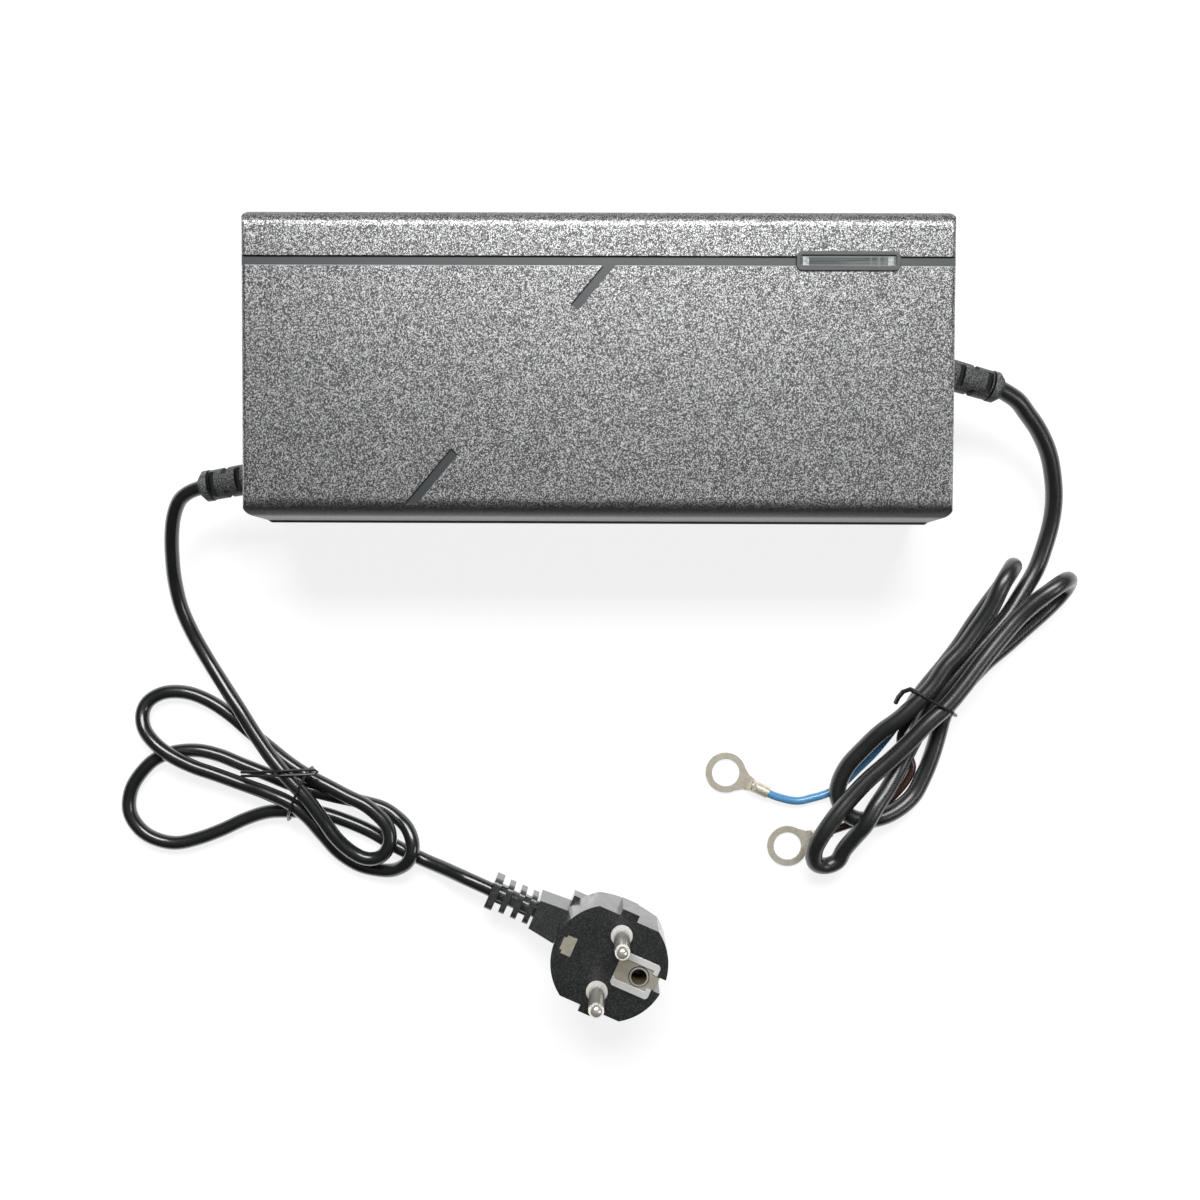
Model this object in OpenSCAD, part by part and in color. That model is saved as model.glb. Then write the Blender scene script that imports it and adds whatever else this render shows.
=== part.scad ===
// Mains battery charger for lithium iron phosphate packs.
// Moulded two-part case, mains lead with an earthed plug, battery lead with two ring terminals.
// Millimetres. Origin: centre of the case footprint on the table, +Z up, +X towards the battery lead.

/* [Case] */
// Case length, over the seam
case_len = 207; // [160:1:260]
// Case width, over the seam
case_wid = 89.5; // [70:0.5:120]
// Case height with the feet
case_ht = 50; // [40:1:70]
// Height of the seam between the two covers
seam_z = 25; // [20:0.5:35]
// Wall thickness of both covers
wall = 2.4; // [1.6:0.1:4]
// Mould draft of the outer walls, in degrees
draft = 2; // [0.5:0.25:4]
// Rounding along the long edges
edge_r = 5; // [3:0.5:8]
// Rounding along the short end edges
end_r = 1.5; // [0.8:0.1:3]
// Rounding of the four upright corners
corner_r = 2.8; // [1:0.1:4]
// Height of the locating lip at the seam
lip_h = 1.6; // [1:0.1:3]
// Thickness of the locating lip
lip_t = 1.1; // [0.8:0.1:2]
// Play around the locating lip
lip_gap = 0.15; // [0.05:0.05:0.4]
// How far the ledge under the seam stands out of both long sides
ledge_out = 0.6; // [0.5:0.1:1.5]
// Thickness of that ledge
ledge_t = 2.2; // [1.5:0.1:4]
// Where the ledge starts, from the mains end of the case
ledge_start = 3; // [3:0.5:20]
// Where the ledge stops, from the battery end of the case
ledge_stop = 3; // [3:0.5:20]

/* [Top cover styling] */
// Depth of the engraved lines
groove_d = 0.7; // [0.3:0.1:1.2]
// Width of the engraved lines
groove_w = 2.75; // [1:0.05:4]
// Distance of the long line from the back of the case
groove_inset = 15.5; // [10:0.1:40]
// Where the slanted line leaves the long line
slant_x = 3.2; // [-60:0.1:60]
// Angle of the slanted line, in degrees
slant_angle = 50.2; // [30:0.1:90]
// Length of the upper piece of the slanted line
slant_upper = 15.6; // [5:0.1:30]
// Start of the lower piece, measured along the slanted line
slant_lower = 69.3; // [40:0.1:80]

/* [Indicator window] */
// Distance of the window's middle from the battery end of the case
window_inset = 31.8; // [25:0.1:180]
// Length of the bezel
bezel_len = 29.8; // [15:0.1:50]
// Width of the bezel
bezel_wid = 5.6; // [4:0.1:12]
// Width of the raised rim of the bezel
bezel_rim = 1.2; // [0.6:0.1:2]
// Height of the rim above the cover
bezel_rise = 0.5; // [0.2:0.1:1.5]
// Distance between the two lamps
lamp_pitch = 24.3; // [8:0.1:40]
// Lamp diameter
lamp_d = 3; // [2:0.1:5]

/* [Fixings and feet] */
// Case screws from the ends of the case
screw_end = 10.5; // [8:0.5:30]
// Case screws from the long sides of the case
screw_side = 9.25; // [8:0.25:20]
// Case screw thread diameter
screw_d = 3; // [2:0.1:4]
// Case screw head diameter
screw_head_d = 5.6; // [4:0.1:8]
// Clearance around screws in their through holes
screw_gap = 0.4; // [0.1:0.05:1]
// Feet from the ends of the case
foot_end = 27.5; // [18:0.5:60]
// Feet from the long sides of the case
foot_side = 12.75; // [9:0.25:30]
// Foot diameter
foot_d = 10; // [6:0.5:16]
// How far the feet stand below the case
foot_stand = 1.5; // [0.5:0.1:4]
// Depth of the recess that each foot is glued into
foot_recess = 0.8; // [0.4:0.1:1.5]

/* [Circuit board] */
// Clearance from each end of the case to the board
board_end = 9.5; // [7:0.5:30]
// Clearance from each long side of the case to the board
board_side = 5.75; // [4:0.25:20]
// Board thickness
board_t = 1.6; // [1:0.1:2.4]
// Gap under the board for its pins
board_gap = 5; // [3:0.5:8]
// Board screws from the ends of the board
board_screw_end = 15; // [10:0.5:50]
// Board screws from the long sides of the board
board_screw_side = 6; // [4:0.5:20]
// Height of the two heat sinks
sink_h = 30; // [15:1:32]
// Number of fins on each heat sink
fins = 6; // [3:1:12]
// Diameter of the two mains smoothing capacitors
bulk_d = 22; // [16:1:26]
// Diameter of the output capacitors
output_d = 12.5; // [8:0.5:16]

/* [Leads] */
// Mains lead diameter
mains_d = 4.6; // [3.5:0.1:8]
// Battery lead diameter
dc_d = 5.5; // [4:0.1:8]
// Diameter of the two bare-ended battery wires
wire_d = 2.7; // [1.5:0.1:3.5]
// Sides of the lead outlines
lead_sides = 12; // [8:1:12]
// Position of the mains lead outlet across the case
mains_y = -31.3; // [-35:0.1:35]
// Position of the battery lead outlet across the case
dc_y = 1.7; // [-35:0.1:35]
// Neck of the strain reliefs, where the covers clamp them
neck_d = 7.6; // [6:0.1:12]
// Largest diameter of the strain reliefs
relief_d = 9.6; // [7:0.1:14]
// Number of slots in each strain relief
relief_slots = 4; // [2:1:8]
// Width of those slots
slot_w = 1.8; // [1:0.1:3]
// Thickness of the tie wire
tie_d = 0.9; // [0.6:0.1:2]

/* [Ring terminals] */
// Hole for the battery bolt
ring_hole_d = 9; // [4:0.1:12]
// Outside diameter of the ring
ring_d = 13.2; // [8:0.1:18]
// Sheet thickness of the terminal
ring_t = 1; // [0.6:0.1:1.5]
// Length of the crimp barrel
barrel_len = 6; // [4:0.5:12]

/* [Plug] */
// Diameter of the plug face
plug_d = 36.5; // [34:0.1:40]
// Width of the plug across the two flats beside the pins
plug_flats = 30.6; // [28:0.1:35]
// Height of the plug face above the table
plug_h = 28; // [20:0.5:36]
// Distance between the two pins
pin_pitch = 19; // [18.8:0.1:19.2]
// Pin diameter
pin_d = 4.8; // [4:0.1:4.8]
// Free length of the pins
pin_len = 19; // [18.5:0.5:20]
// Distance from the plug centre to the earth socket
earth_offset = 10; // [9:0.1:11]
// Diameter of the earth socket
earth_d = 4.9; // [4.8:0.1:5.2]
// Diameter of the white collars around the pins
collar_d = 6.8; // [5.5:0.1:8]
// Number of ribs on the plug's bend protector
plug_ribs = 4; // [3:1:8]

/* [Hidden] */
$fn = 64;
eps = 0.01;
over = 1;

half_len = case_len / 2;
half_wid = case_wid / 2;
groove_y = half_wid - groove_inset;
window_x = half_len - window_inset;
screw_x = half_len - screw_end;
screw_y = half_wid - screw_side;
foot_x = half_len - foot_end;
foot_y = half_wid - foot_side;
board_len = case_len - 2 * board_end;
board_wid = case_wid - 2 * board_side;
board_screw_x = board_len / 2 - board_screw_end;
board_screw_y = board_wid / 2 - board_screw_side;
back_sink_y = board_wid / 2 - 11.5;
front_sink_y = -board_wid / 2 + 11;
landing_y = -board_wid / 2 + 12;
floor_z = foot_stand;
top_up = case_ht - seam_z;
base_down = seam_z - floor_z;
inner_floor = floor_z + wall;
board_z = inner_floor + board_gap;
deck_z = board_z + board_t;
roof_z = case_ht - wall;
post_d = screw_d + 4.6;
head_room = screw_head_d + 0.8;
head_deep = 7;
boss_hold = 11;
screw_len = seam_z - floor_z - head_deep + boss_hold;
bezel_in_len = bezel_len - 2 * bezel_rim;
bezel_in_wid = bezel_wid - 2 * bezel_rim;
lens_gap = 0.05;
bezel_deep = 1.2;
lamp_board_z = roof_z - 8;
lamp_post_d = 3.2;
lamp_post_x = 5;
flange_d = neck_d + 4;
flange_t = 2;
flange_gap = tan(draft) * flange_d / 2;

// Plug position on the table and the direction of its earth socket.
plug_at = [4.1, -181.2];
plug_turn = -23.7;
plug_cable_z = 8.6;
boot_end = 42.3;
boot_pitch = 4.1;
boot_y = 1;
pin_root_d = pin_d - 0.4;
pin_neck = 0.5;

// Ring terminals: centre and direction of the wire.
ring_neg_at = [42.1, -126.2];
ring_neg_turn = -25;
ring_pos_at = [62.5, -150.3];
ring_pos_turn = 20.5;
neck_x = ring_d / 2 + 2.5;
mouth_x = neck_x + barrel_len;
socket_deep = 4;
barrel_d = 4;
barrel_z = barrel_d / 2;

// Routes of the leads: x, y and height of the centre line, chosen by hand.
mains_route = [
  [-122.7, -34.5, 22.5], [-127, -36, 21.4], [-130.5, -38.5, 19.9], [-133, -43, 17.8],
  [-134.5, -48.5, 15.4], [-135.5, -55, 12.4], [-136, -63, 8.8], [-135, -72, 5.8],
  [-132, -80.5, 4], [-127, -89.5, 3.8], [-121.5, -97.5, 5.2], [-116, -105, 7.2],
  [-111, -112.5, 8.2], [-105.5, -120, 9.2], [-99.5, -127, 10.2], [-93.5, -133.5, 10.4],
  [-88.5, -140.5, 9.8], [-84.5, -146.5, 8.8], [-80, -151, 7.9], [-75.5, -153.5, 7.5],
  [-71.5, -153.5, 7.5], [-68.5, -151.5, 7.7], [-67, -147.5, 7.7], [-68, -143, 7.6],
  [-71, -139.5, 7.5], [-75.5, -136, 7.4], [-81, -133.5, 6.9], [-87, -130.5, 6.4],
  [-94, -127, 5.9], [-100.5, -123, 5], [-107.5, -118, 3.2], [-114, -113, 2.4],
  [-120.5, -107.5, 2.3], [-127.5, -103, 2.3], [-134.5, -100.5, 2.3], [-141.5, -100.5, 2.3],
  [-146.5, -103, 2.5], [-148.5, -107, 3.4], [-147.5, -112, 5], [-143.5, -116.5, 6.8],
  [-138, -120.5, 7.4], [-131.5, -124, 6.6], [-123.5, -127, 5.6], [-115, -130, 5.8],
  [-107, -132.5, 7.2], [-99.5, -135.5, 8.3], [-94, -140, 7.6], [-89.5, -146, 5.6],
  [-84.5, -152.5, 3.4], [-78, -157, 2.4], [-71, -158.5, 2.8], [-66, -158, 4.2],
  [-62, -155.5, 6.4], [-60, -152, 7.2], [-60, -148, 6.6], [-62, -144, 4.9],
  [-65.5, -141, 3.2], [-70.5, -138, 2.4], [-78, -136, 2.3], [-85, -134.5, 2.4],
  [-92.5, -132.5, 3.2], [-100.5, -130, 3.6], [-108.5, -127, 2.8], [-116.5, -124, 2.3],
  [-124, -121, 2.3], [-131, -119.5, 2.3], [-138.5, -120, 2.3], [-145, -122.5, 2.3],
  [-150, -127.5, 2.3], [-153, -133, 2.3], [-153.5, -139.5, 2.3], [-150.5, -145, 2.3],
  [-145.5, -148.5, 2.3], [-138.5, -150, 2.3], [-131, -148.5, 2.3], [-123, -145.5, 2.3],
  [-115.5, -142, 2.3], [-108, -139.5, 3], [-100.5, -139, 3.6], [-92, -139.5, 2.6],
  [-83.5, -142, 2.3], [-74, -146, 2.3], [-65.5, -151, 2.3], [-57, -155, 2.6],
  [-49.5, -157.5, 5], [-42, -160, 8], [-34.3, -163.3, 8.6]
];
dc_route = [
  [123.8, -3.3, 21.5], [129.5, -6.5, 20.2], [133.5, -10.5, 18.2], [138, -15.5, 15.6],
  [142, -22, 12.8], [144.5, -29, 10], [146, -36.5, 7.2], [146, -44, 4.8],
  [144.5, -51.5, 3.4], [142, -59, 3], [137.5, -66.5, 3.8], [132, -74.5, 5.2],
  [126, -81, 6.3], [119.5, -88, 7.3], [113.5, -95, 8.1], [108, -102, 8.2],
  [104.5, -109, 7.6], [101.5, -115.5, 6.7], [98, -122.5, 6.8], [94, -129, 9],
  [89.5, -135, 11.2], [86, -141, 11.4], [83, -145.5, 9.2], [80, -150, 7.2],
  [78, -154, 6.2], [74, -155.5, 6.4], [70.5, -154, 8], [70, -149.5, 10.2],
  [72, -144.5, 11.8], [76, -138.5, 12.2], [81, -132.5, 11.8], [86.5, -126.5, 11.9],
  [93, -120.5, 12.4], [99, -114.5, 13], [105, -108, 13.4], [111, -102.5, 13.4],
  [116, -96.5, 13.2], [122, -88.5, 12.8], [128, -81, 12.3], [133.5, -74.5, 12.4],
  [138.5, -69.5, 13.4], [143.5, -65.5, 14.2], [147.5, -63, 12.8], [150.5, -62.5, 8.8],
  [151, -65, 4.8], [148.5, -69, 2.9], [144, -73.5, 2.8], [139, -78, 2.8],
  [133, -83.5, 2.8], [126.5, -89, 3.1], [121, -94.5, 3.7], [116, -100, 3.9],
  [112.5, -106.5, 3.7], [111, -113, 2.8], [109, -120, 2.8], [106.5, -126.5, 2.8],
  [103, -133, 3.2], [97.5, -137.5, 4.4], [91.5, -140, 5.4], [85, -140.5, 5.7],
  [80.5, -138, 5.7], [78, -133, 5.8], [78.5, -128, 6.2], [81, -122.5, 7.2],
  [85.5, -117, 8.6], [90.5, -111.5, 10.4], [96.5, -106.5, 12.3], [102, -101, 13.2],
  [106.5, -96, 13.4], [110.5, -90, 13.5], [115.5, -84.5, 13.7], [120, -78, 14],
  [124, -71.5, 14.8], [127, -64.5, 15.6], [130, -60, 14], [132.5, -58, 9.8],
  [133, -60, 5.2], [130.5, -65, 2.9], [126.5, -70.5, 2.8], [122, -77, 2.8],
  [117.5, -84, 2.9], [112.5, -90.5, 3.4], [107.5, -96.5, 3.9], [103.5, -102, 3.7],
  [101, -107, 3.1], [98, -111.5, 2.8]
];
dc_end_dir = [-0.56, -0.83, 0];
negative_route = [
  [94.3, -114.6, 2], [90, -120, 1.5], [85, -125, 1.4], [80.5, -129.5, 1.4],
  [76, -132.5, 1.4], [70.5, -134.3, 1.4], [65, -135.3, 1.5]
];
positive_route = [
  [99, -115.8, 1.9], [101.5, -119.5, 1.4], [103, -124, 1.4], [101.5, -128, 1.4],
  [98.5, -132, 1.4], [94.5, -136, 1.4], [90.5, -139.3, 1.4], [86, -141.8, 1.5]
];

// Outline of each tie in its own upright plane: distance from its middle and height.
dc_tie_at = [108.2, -102.2];
dc_tie_turn = -29.4;
dc_tie_path = [
  [-8.9, 8], [-8.9, 13], [-8, 15.4], [-5.6, 16.6], [2.3, 16.7], [4.6, 15.9],
  [6.6, 13], [8.9, 6], [9, 3.4], [8.2, 1.3], [5.7, 0.5], [-4.2, 0.5], [-6.8, 1.5], [-8, 4]
];
mains_tie_at = [-97.2, -134.1];
mains_tie_turn = -114.9;
mains_tie_path = [
  [-10.9, 5.9], [-10.9, 9.5], [-9.9, 12], [-6.5, 13.4], [-2.4, 13.4], [3.6, 11.3], [5.2, 10],
  [8.2, 5.2], [8.6, 3.5], [7.7, 1.3], [5.4, 0.5], [-2.9, 0.5], [-4.6, 0.8], [-9.3, 3.1], [-10.5, 4.3]
];
// Loose ends of the ties, lying over the bundles.
dc_tie_tail = [[101.3, -98.3, 15.5], [98.8, -97, 15.4], [96.9, -98, 13.8], [96, -100, 11.4], [95.6, -102, 9.4]];
mains_tie_tail = [
  [-114.4, -126.4, 10.6], [-108, -126.1, 12.3], [-101, -125.8, 13], [-95, -125.6, 12.8],
  [-90.4, -125.4, 12.4], [-89.4, -124.7, 12.2], [-90.4, -124, 12.4], [-95, -124.1, 12.8],
  [-101, -124.4, 13], [-108, -124.9, 12.3], [-114.4, -125.2, 10.7]
];

function unit(v) = v / norm(v);
function along(p, i, first, last) =
  i == 0 ? unit(first) : i == len(p) - 1 ? unit(last) : unit(p[i + 1] - p[i - 1]);
function square_to(u, t) = unit(u - (u * t) * t);

// Tube swept along a route. Each ring is carried over from the one before without twisting.
module swept_tube(route, d, sides, first, last) {
  n = len(route);
  t = [for (i = [0:n - 1]) along(route, i, first, last)];
  start = square_to(cross(t[0], [0, 0, 1]), t[0]);
  u = [for (i = 0, v = start; i < n; i = i + 1, v = i < n ? square_to(v, t[i]) : v) v];
  rings = [
    for (i = [0:n - 1], k = [0:sides - 1])
      route[i] + d / 2 * (cos(360 * k / sides) * u[i] + sin(360 * k / sides) * cross(t[i], u[i]))
  ];
  caps = [[for (k = [0:sides - 1]) k], [for (k = [sides - 1:-1:0]) (n - 1) * sides + k]];
  skin = [
    for (i = [0:n - 2], k = [0:sides - 1], half = [0, 1])
      let (a = i * sides + k, b = i * sides + (k + 1) % sides)
        half == 0 ? [a, a + sides, b] : [b, a + sides, b + sides]
  ];
  polyhedron(points = rings, faces = concat(caps, skin), convexity = 10);
}

// Closed tie loop: a tube along an outline that stands upright.
module tie_loop(outline, d) {
  sides = 8;
  path = [for (q = outline) [q[0], 0, q[1]]];
  n = len(path);
  rings = [
    for (i = [0:n - 1], k = [0:sides - 1])
      let (t = unit(path[(i + 1) % n] - path[(i + n - 1) % n]), v = cross(t, [0, 1, 0]))
        path[i] + d / 2 * (cos(360 * k / sides) * [0, 1, 0] + sin(360 * k / sides) * v)
  ];
  skin = [
    for (i = [0:n - 1], k = [0:sides - 1], half = [0, 1])
      let (
        a = i * sides + k,
        b = i * sides + (k + 1) % sides,
        c = ((i + 1) % n) * sides + k,
        e = ((i + 1) % n) * sides + (k + 1) % sides
      )
        half == 0 ? [a, c, b] : [b, c, e]
  ];
  polyhedron(points = rings, faces = skin, convexity = 10);
}

// Half of a drafted section with rounded outer corners. Its open side is the seam.
module half_section(half, height, r, skirt) {
  cy = height - r;
  cx = half - r / cos(draft) - tan(draft) * cy;
  polygon([
    [-half, -skirt], [half, -skirt], [half, 0],
    [cx + r * cos(draft), cy + r * sin(draft)], [cx, height],
    [-cx, height], [-cx - r * cos(draft), cy + r * sin(draft)], [-half, 0]
  ]);
  for (s = [-1, 1])
    translate([s * cx, cy])
      circle(r);
}

// Half shell block: the long section crossed with the end section.
module half_block(hl, hw, height, r_long, r_short, skirt) {
  intersection() {
    rotate([90, 0, 90])
      linear_extrude(height = 2 * hl + 2 * over, center = true)
        half_section(hw, height, r_long, skirt);
    rotate([90, 0, 0])
      linear_extrude(height = 2 * hw + 2 * over, center = true)
        half_section(hl, height, r_short, skirt);
  }
}

// Rounds the upright corners, leaning with the draft.
module corner_cutters(hl, hw, height) {
  for (mx = [0, 1], my = [0, 1])
    mirror([mx, 0, 0])
      mirror([0, my, 0])
        translate([hl, hw, 0])
          rotate([draft, -draft, 0])
            difference() {
              translate([-corner_r, -corner_r, -over])
                cube([corner_r + over, corner_r + over, height + 2 * over]);
              translate([-corner_r + 0.03, -corner_r + 0.03, -2 * over])
                cylinder(r = corner_r, h = height + 4 * over);
            }
}

module outer_half(height) {
  difference() {
    half_block(half_len, half_wid, height, edge_r, end_r, 0);
    corner_cutters(half_len, half_wid, height);
  }
}

module inner_half(height) {
  half_block(half_len - wall, half_wid - wall, height - wall, edge_r - wall, 0.6, over);
}

// Band that runs round the inside of the seam.
module seam_band(out, height) {
  translate([0, 0, height / 2])
    cube([case_len - 2 * wall + 2 * out, case_wid - 2 * wall + 2 * out, height], center = true);
}

// Both lead outlets: the neck through the end wall.
module outlet_holes() {
  translate([-half_len - over, mains_y, seam_z])
    rotate([0, 90, 0])
      cylinder(d = neck_d, h = wall + lip_t + 3 * over);
  translate([half_len + over, dc_y, seam_z])
    rotate([0, -90, 0])
      cylinder(d = neck_d, h = wall + lip_t + 3 * over);
}

module at_corners(x, y) {
  for (sx = [-1, 1], sy = [-1, 1])
    translate([sx * x, sy * y, 0])
      children();
}

module engraved_lines() {
  z = case_ht - groove_d;
  translate([-half_len - over, groove_y - groove_w / 2, z])
    cube([case_len + 2 * over, groove_w, groove_d + over]);
  translate([slant_x, groove_y - groove_w / 2, z])
    rotate([0, 0, slant_angle - 180]) {
      translate([-2, -groove_w / 2, 0])
        cube([slant_upper + 2, groove_w, groove_d + over]);
      intersection() {
        translate([slant_lower, -groove_w / 2, 0])
          cube([24, groove_w, groove_d + over]);
        rotate([0, 0, 180 - slant_angle])
          translate([-slant_x - half_len, -half_wid + edge_r - 0.9 - groove_y + groove_w / 2, -over])
            cube([case_len, case_wid, groove_d + 3 * over]);
      }
    }
}

module rounded_bar(len, wid, r, h) {
  linear_extrude(height = h)
    union() {
      square([len - 2 * r, wid], center = true);
      square([len, wid - 2 * r], center = true);
      for (sx = [-1, 1], sy = [-1, 1])
        translate([sx * (len / 2 - r), sy * (wid / 2 - r)])
          circle(r);
    }
}

module top_cover() {
  color([0.2, 0.21, 0.21])
    difference() {
      union() {
        difference() {
          translate([0, 0, seam_z])
            outer_half(top_up);
          translate([0, 0, seam_z])
            inner_half(top_up);
          translate([0, 0, seam_z - eps])
            seam_band(lip_t + lip_gap, lip_h + lip_gap + eps);
        }
        // Screw bosses, reaching down to the posts of the base.
        at_corners(screw_x, screw_y)
          translate([0, 0, seam_z + 0.1])
            cylinder(d = post_d, h = top_up - wall + 0.5);
        // Two pins that carry the lamp board.
        for (s = [-1, 1])
          translate([window_x + s * lamp_post_x, groove_y, lamp_board_z])
            cylinder(d = lamp_post_d, h = roof_z - lamp_board_z + 0.5);
        // Stiffening ribs under the roof.
        for (x = [-60, -20, 20])
          translate([x - 0.6, -half_wid + wall + 0.8, roof_z - 2])
            cube([1.2, case_wid - 2 * wall - 1.6, 2.5]);
      }
      at_corners(screw_x, screw_y)
        translate([0, 0, seam_z - over])
          cylinder(d = screw_d, h = boss_hold + over);
      engraved_lines();
      translate([window_x, groove_y, case_ht - bezel_deep])
        rounded_bar(bezel_len, bezel_wid, 1.6, bezel_deep + over);
      for (s = [-1, 1])
        translate([window_x + s * lamp_pitch / 2, groove_y, roof_z - over])
          cylinder(d = lamp_d + 0.2, h = wall + 2 * over);
      outlet_holes();
    }
}

// Ledge just under the seam on both long sides, with slanted ends.
module seam_ledge() {
  from = -half_len + ledge_start;
  to = half_len - ledge_stop;
  for (s = [-1, 1])
    translate([0, s * (half_wid - 0.8), seam_z - 0.3 - ledge_t])
      linear_extrude(height = ledge_t)
        polygon([[from - 2.5, 0], [from, s * (ledge_out + 0.8)], [to, s * (ledge_out + 0.8)], [to + 2, 0]]);
}

module bottom_cover() {
  color([0.17, 0.18, 0.18])
    difference() {
      union() {
        difference() {
          translate([0, 0, seam_z])
            mirror([0, 0, 1])
              outer_half(base_down);
          translate([0, 0, seam_z])
            mirror([0, 0, 1])
              inner_half(base_down);
        }
        // Locating lip that the top cover drops over.
        difference() {
          translate([0, 0, seam_z - 3])
            seam_band(lip_t, lip_h + 3);
          translate([0, 0, seam_z - 4])
            seam_band(-0.02, lip_h + 5);
        }
        seam_ledge();
        at_corners(screw_x, screw_y)
          translate([0, 0, inner_floor - 0.5])
            cylinder(d = post_d, h = seam_z - inner_floor + 0.5);
        at_corners(board_screw_x, board_screw_y)
          translate([0, 0, inner_floor - 0.5])
            cylinder(d = 7, h = board_gap + 0.5);
      }
      at_corners(screw_x, screw_y) {
        translate([0, 0, floor_z - over])
          cylinder(d = screw_d + screw_gap, h = case_ht);
        translate([0, 0, floor_z - over])
          cylinder(d = head_room, h = head_deep + over);
      }
      at_corners(board_screw_x, board_screw_y)
        translate([0, 0, inner_floor - 0.4])
          cylinder(d = screw_d, h = board_gap + over);
      at_corners(foot_x, foot_y)
        translate([0, 0, floor_z - over])
          cylinder(d = foot_d, h = foot_recess + over);
      // Air slots low in both end walls.
      for (sx = [-1, 1], i = [-5:5])
        if (abs(i) > 0)
          translate([sx * (half_len - wall / 2), i * 5, 10.5])
            cube([3 * wall, 2, 7], center = true);
      outlet_holes();
    }
}

module case_screws() {
  color([0.35, 0.35, 0.37])
    at_corners(screw_x, screw_y)
      translate([0, 0, floor_z + head_deep]) {
        difference() {
          translate([0, 0, -2.2])
            cylinder(d = screw_head_d, h = 2.2);
          for (a = [0, 90])
            rotate([0, 0, a])
              translate([-1.6, -0.35, -2.2 - over])
                cube([3.2, 0.7, 1.2 + over]);
        }
        translate([0, 0, -0.5])
          cylinder(d = screw_d, h = screw_len + 0.5);
      }
}

module rubber_feet() {
  color([0.05, 0.05, 0.05])
    at_corners(foot_x, foot_y)
      union() {
        cylinder(d1 = foot_d - 1, d2 = foot_d, h = 0.6);
        translate([0, 0, 0.6])
          cylinder(d = foot_d, h = foot_stand + foot_recess - 0.6);
      }
}

module window_bezel() {
  color([0.16, 0.17, 0.17])
    translate([window_x, groove_y, case_ht - bezel_deep])
      difference() {
        rounded_bar(bezel_len, bezel_wid, 1.6, bezel_deep + bezel_rise);
        translate([0, 0, -over])
          rounded_bar(bezel_in_len, bezel_in_wid, 0.6, bezel_deep + bezel_rise + 2 * over);
      }
}

module window_lens() {
  color([0.5, 0.53, 0.53, 0.6])
    translate([window_x, groove_y, case_ht - bezel_deep])
      rounded_bar(bezel_in_len - 2 * lens_gap, bezel_in_wid - 2 * lens_gap, 0.55, bezel_deep + 0.1);
}

module lamp() {
  tip = case_ht - bezel_deep - 0.15;
  translate([0, 0, lamp_board_z - 1.2])
    cylinder(d = lamp_d, h = tip - lamp_board_z + 1.2 - lamp_d / 2);
  translate([0, 0, tip - lamp_d / 2])
    sphere(d = lamp_d);
  translate([0, 0, lamp_board_z])
    cylinder(d = lamp_d + 0.8, h = 1);
}

module power_lamp() {
  color([0.8, 0.25, 0.2])
    translate([window_x - lamp_pitch / 2, groove_y, 0])
      lamp();
}

module charge_lamp() {
  color([0.3, 0.75, 0.35])
    translate([window_x + lamp_pitch / 2, groove_y, 0])
      lamp();
}

module lamp_board() {
  color([0.1, 0.35, 0.2])
    difference() {
      translate([window_x, groove_y, lamp_board_z - 0.6])
        cube([lamp_pitch + 8, 7.5, 1.2], center = true);
      for (s = [-1, 1])
        translate([window_x + s * lamp_pitch / 2, groove_y, lamp_board_z - 2])
          cylinder(d = lamp_d, h = 4);
    }
}

module lamp_ribbon() {
  x = window_x;
  y = groove_y + 1.2;
  color([0.75, 0.72, 0.65])
    for (i = [-1, 0, 1])
      translate([x + i * 1.3, y, deck_z])
        cylinder(d = 1.1, h = lamp_board_z - 1.2 - deck_z);
}

module main_board() {
  color([0.12, 0.36, 0.2])
    difference() {
      translate([0, 0, board_z + board_t / 2])
        cube([board_len, board_wid, board_t], center = true);
      at_corners(screw_x, screw_y)
        translate([0, 0, board_z - over])
          cylinder(d = post_d + 1, h = board_t + 2 * over);
      at_corners(board_len / 2, screw_y)
        translate([0, 0, board_z + board_t / 2])
          cube([6, post_d + 1, board_t + 2 * over], center = true);
      at_corners(board_screw_x, board_screw_y)
        translate([0, 0, board_z - over])
          cylinder(d = screw_d + screw_gap, h = board_t + 2 * over);
    }
}

module board_screws() {
  color([0.6, 0.6, 0.62])
    at_corners(board_screw_x, board_screw_y)
      union() {
        translate([0, 0, deck_z])
          cylinder(d = screw_head_d, h = 2);
        translate([0, 0, deck_z - board_t - board_gap + 1])
          cylinder(d = screw_d, h = board_t + board_gap);
      }
}

module line_fuse() {
  translate([-0.447 * board_len, landing_y + 13, deck_z + 4.2]) {
    color([0.75, 0.75, 0.78])
      for (s = [-1, 1])
        translate([0, s * 7.5, 0])
          rotate([90, 0, 0])
            cylinder(d = 5.4, h = 5, center = true);
    color([0.85, 0.9, 0.9])
      rotate([90, 0, 0])
        cylinder(d = 5, h = 12, center = true);
    color([0.75, 0.75, 0.78])
      for (s = [-1, 1])
        translate([0, s * 7.5, -3.2])
          cube([5.4, 1.2, 2], center = true);
  }
}

module filter_capacitor() {
  color([0.85, 0.7, 0.15])
    translate([-0.447 * board_len, 12, deck_z])
      union() {
        translate([-4, -9, 0.5])
          cube([8, 18, 14]);
        for (s = [-1, 1])
          translate([0, s * 7.5, 0])
            cylinder(d = 0.9, h = 1);
      }
}

module toroid(r_mid, r_section, z_scale) {
  rotate_extrude()
    translate([r_mid, 0])
      square([2 * r_section, 2 * z_scale], center = true);
}

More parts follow.
